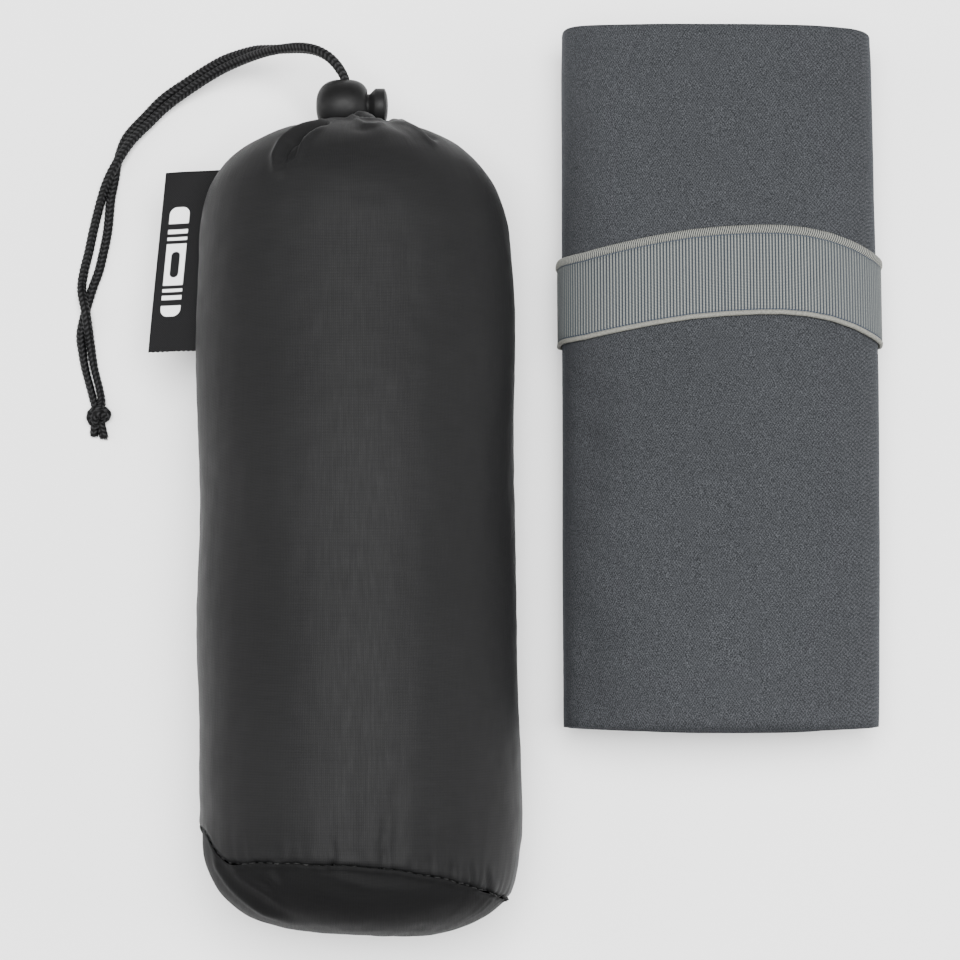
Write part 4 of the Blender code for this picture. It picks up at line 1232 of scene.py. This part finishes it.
def turned(name, profile, n, mat):
    """Turn (radius, x) about the lock's button axis."""
    a = np.arange(n) / n * 2 * math.pi
    verts, rows = [], []
    for r, x in profile:
        if r < 1e-6:
            rows.append([len(verts)])
            verts.append(BALL + (x, 0, 0))
        else:
            rows.append(list(range(len(verts), len(verts) + n)))
            verts += [BALL + (x, r * math.sin(k), r * math.cos(k)) for k in a]
    faces = []
    for p, q in zip(rows, rows[1:]):
        for k in range(n):
            m = (k + 1) % n
            if len(p) == 1:
                faces.append((p[0], q[k], q[m]))
            elif len(q) == 1:
                faces.append((p[k], q[0], p[m]))
            else:
                faces.append((p[k], q[k], q[m], p[m]))
    obj = make_object(name, w(np.array(verts)), faces, mat)
    bm = bmesh.new()
    bm.from_mesh(obj.data)
    bmesh.ops.recalc_face_normals(bm, faces=bm.faces)
    bm.to_mesh(obj.data)
    bm.free()
    return obj


def rounded_slot(x0, x1, z_half, r=0.7):
    """A tall slot with round corners, along Y through the lock."""
    pts = []
    for cx, cz, a0 in ((x1 - r, z_half - r, 0), (x0 + r, z_half - r, 90), (x0 + r, -z_half + r, 180), (x1 - r, -z_half + r, 270)):
        for i in range(7):
            a = math.radians(a0 + 15 * i)
            pts.append((cx + r * math.cos(a), cz + r * math.sin(a)))
    n = len(pts)
    verts = [BALL + (px, -12, pz) for px, pz in pts] + [BALL + (px, 12, pz) for px, pz in pts]
    faces = [tuple(range(n)), tuple(range(2 * n - 1, n - 1, -1))]
    for i in range(n):
        j = (i + 1) % n
        faces.append((i, i + n, j + n, j))
    obj = make_object("slot_cutter", w(np.array(verts)), faces, None, smooth=False)
    bm = bmesh.new()
    bm.from_mesh(obj.data)
    bmesh.ops.recalc_face_normals(bm, faces=bm.faces)
    bm.to_mesh(obj.data)
    bm.free()
    return obj


def subtract(obj, *cutters):
    for c in cutters:
        mod = obj.modifiers.new("cut", "BOOLEAN")
        mod.operation, mod.solver, mod.object = "DIFFERENCE", "EXACT", c
    bev = obj.modifiers.new("edge", "BEVEL")
    bev.width, bev.segments, bev.limit_method = 0.16 * MM, 2, "ANGLE"
    bev.angle_limit = math.radians(40)
    applied(obj)
    for c in cutters:
        bpy.data.objects.remove(c, do_unlink=True)
    obj.data.polygons.foreach_set("use_smooth", [True] * len(obj.data.polygons))
    obj.data.set_sharp_from_angle(angle=math.radians(38))
    return obj


def build_lock():
    def ball_radius(x):
        p = 2.5 if x < 0 else 2.9
        return BALL_R * max(0.0, 1 - (abs(x) / 7.9) ** p) ** (1 / p)

    prof = [(0.0, -7.9)]
    for i in range(1, 60):
        a = -math.pi / 2 + math.pi * i / 60
        x = 7.9 * math.sin(a)
        r = ball_radius(x)
        # a faint mould line round the middle, switched off by the factor 0
        r -= 0.07 * math.exp(-((x + 0.2) / 0.10) ** 2) * 0
        prof.append((r, x))
    prof = [p for p in prof if p[1] < 7.72] + [(3.3, 7.72), (0.0, 7.72)]
    ball = turned("lock_ball", prof, 96, BALL_MAT)
    bore = turned("bore_cutter", [(0.0, -5.4), (3.95, -5.4), (3.95, 6.25), (5.6, 7.9), (5.6, 9.5), (0.0, 9.5)], 72, None)
    hole = rounded_slot(CORD_DX - 1.45 - PRESS - 0.1, CORD_DX + 1.45, 2.75)
    subtract(ball, bore, hole)
    inner = CORD_DX - 1.45 - 1.1
    button = turned("lock_button", [(0.0, inner), (3.3, inner), (3.6, inner + 0.3), (3.6, 7.5), (3.5, 7.7), (3.58, 7.95),
                                    (4.0, 8.4), (4.85, 9.25), (5.1, 9.5), (5.2, 9.7), (5.2, 12.1), (5.1, 12.35),
                                    (4.85, 12.52), (4.55, 12.56), (4.45, 12.62), (4.2, 12.78), (3.4, 13.02),
                                    (2.2, 13.20), (1.0, 13.28), (0.0, 13.3)], 80, BUTTON_MAT)
    slot = rounded_slot(CORD_DX - 1.45, CORD_DX + 1.45 + PRESS + 0.1, 2.75, 0.5)
    subtract(button, slot)
    return ball, button


ball, button = build_lock()
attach(ball, "cord_lock")
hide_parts("cord_lock_body")
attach(button, "lock_plunger")
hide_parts("cord_lock_plunger")


def build_spring():
    """Conical wire spring between the bore's bottom and the button."""
    f = np.linspace(0, 1, 73)
    a = 2 * math.pi * 3.0 * f
    r = 3.1 - 1.3 * f
    path = BALL + np.stack([-5.1 + (CORD_DX - 2.85 + 5.1) * f, r * np.cos(a), r * np.sin(a)], -1)
    return join_parts("lock_spring", [tube_part(path, 0.2, 10)], STEEL)


spring = build_spring()
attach(spring, "cord_lock")
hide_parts("cord_lock_spring")

# ------------------------------------------------------------------ stage
floor = make_object("floor", [(-3, -3, 0), (3, -3, 0), (3, 3, 0), (-3, 3, 0)], [(0, 1, 2, 3)], None, smooth=False)
fm = Mat("floor_white", rough=0.9, spec=0.2)
fm.out((0.95, 0.95, 0.95))
floor.data.materials.append(fm.m)

world = bpy.data.worlds.new("studio")
bpy.context.scene.world = world
world.use_nodes = True
world.node_tree.nodes["Background"].inputs["Color"].default_value = (1, 1, 1, 1)
world.node_tree.nodes["Background"].inputs["Strength"].default_value = 0.32


def area(name, loc, target, size, power, size_y=None, color=(1, 1, 1)):
    data = bpy.data.lights.new(name, "AREA")
    data.shape = "RECTANGLE"
    data.size, data.size_y = size, size_y or size
    data.energy = power
    data.color = color
    o = bpy.data.objects.new(name, data)
    bpy.context.collection.objects.link(o)
    o.location = loc
    o.rotation_euler = (Vector(target) - Vector(loc)).to_track_quat("-Z", "Y").to_euler()
    return o


area("key", (0.02, -0.02, 1.25), (0, 0, 0), 0.8, 44)
area("left_rim", (-0.86, 0.05, 0.42), (-0.03, 0, 0.03), 0.4, 6.2, 1.2)
area("right_fill", (0.95, 0.0, 0.38), (0.0, 0, 0.05), 0.5, 11, 1.2)

# every closed piece faces outwards
for o in [x for x in bpy.data.objects if x.type == "MESH" and x.name in bpy.context.scene.objects]:
    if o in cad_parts.values() or o.name == "floor":
        continue
    bm = bmesh.new()
    bm.from_mesh(o.data)
    bmesh.ops.recalc_face_normals(bm, faces=bm.faces)
    bm.to_mesh(o.data)
    bm.free()

# the spring gets a mesh of its own
tuple(w(BALL + (-5.3, 0, 0)))
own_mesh(spring)
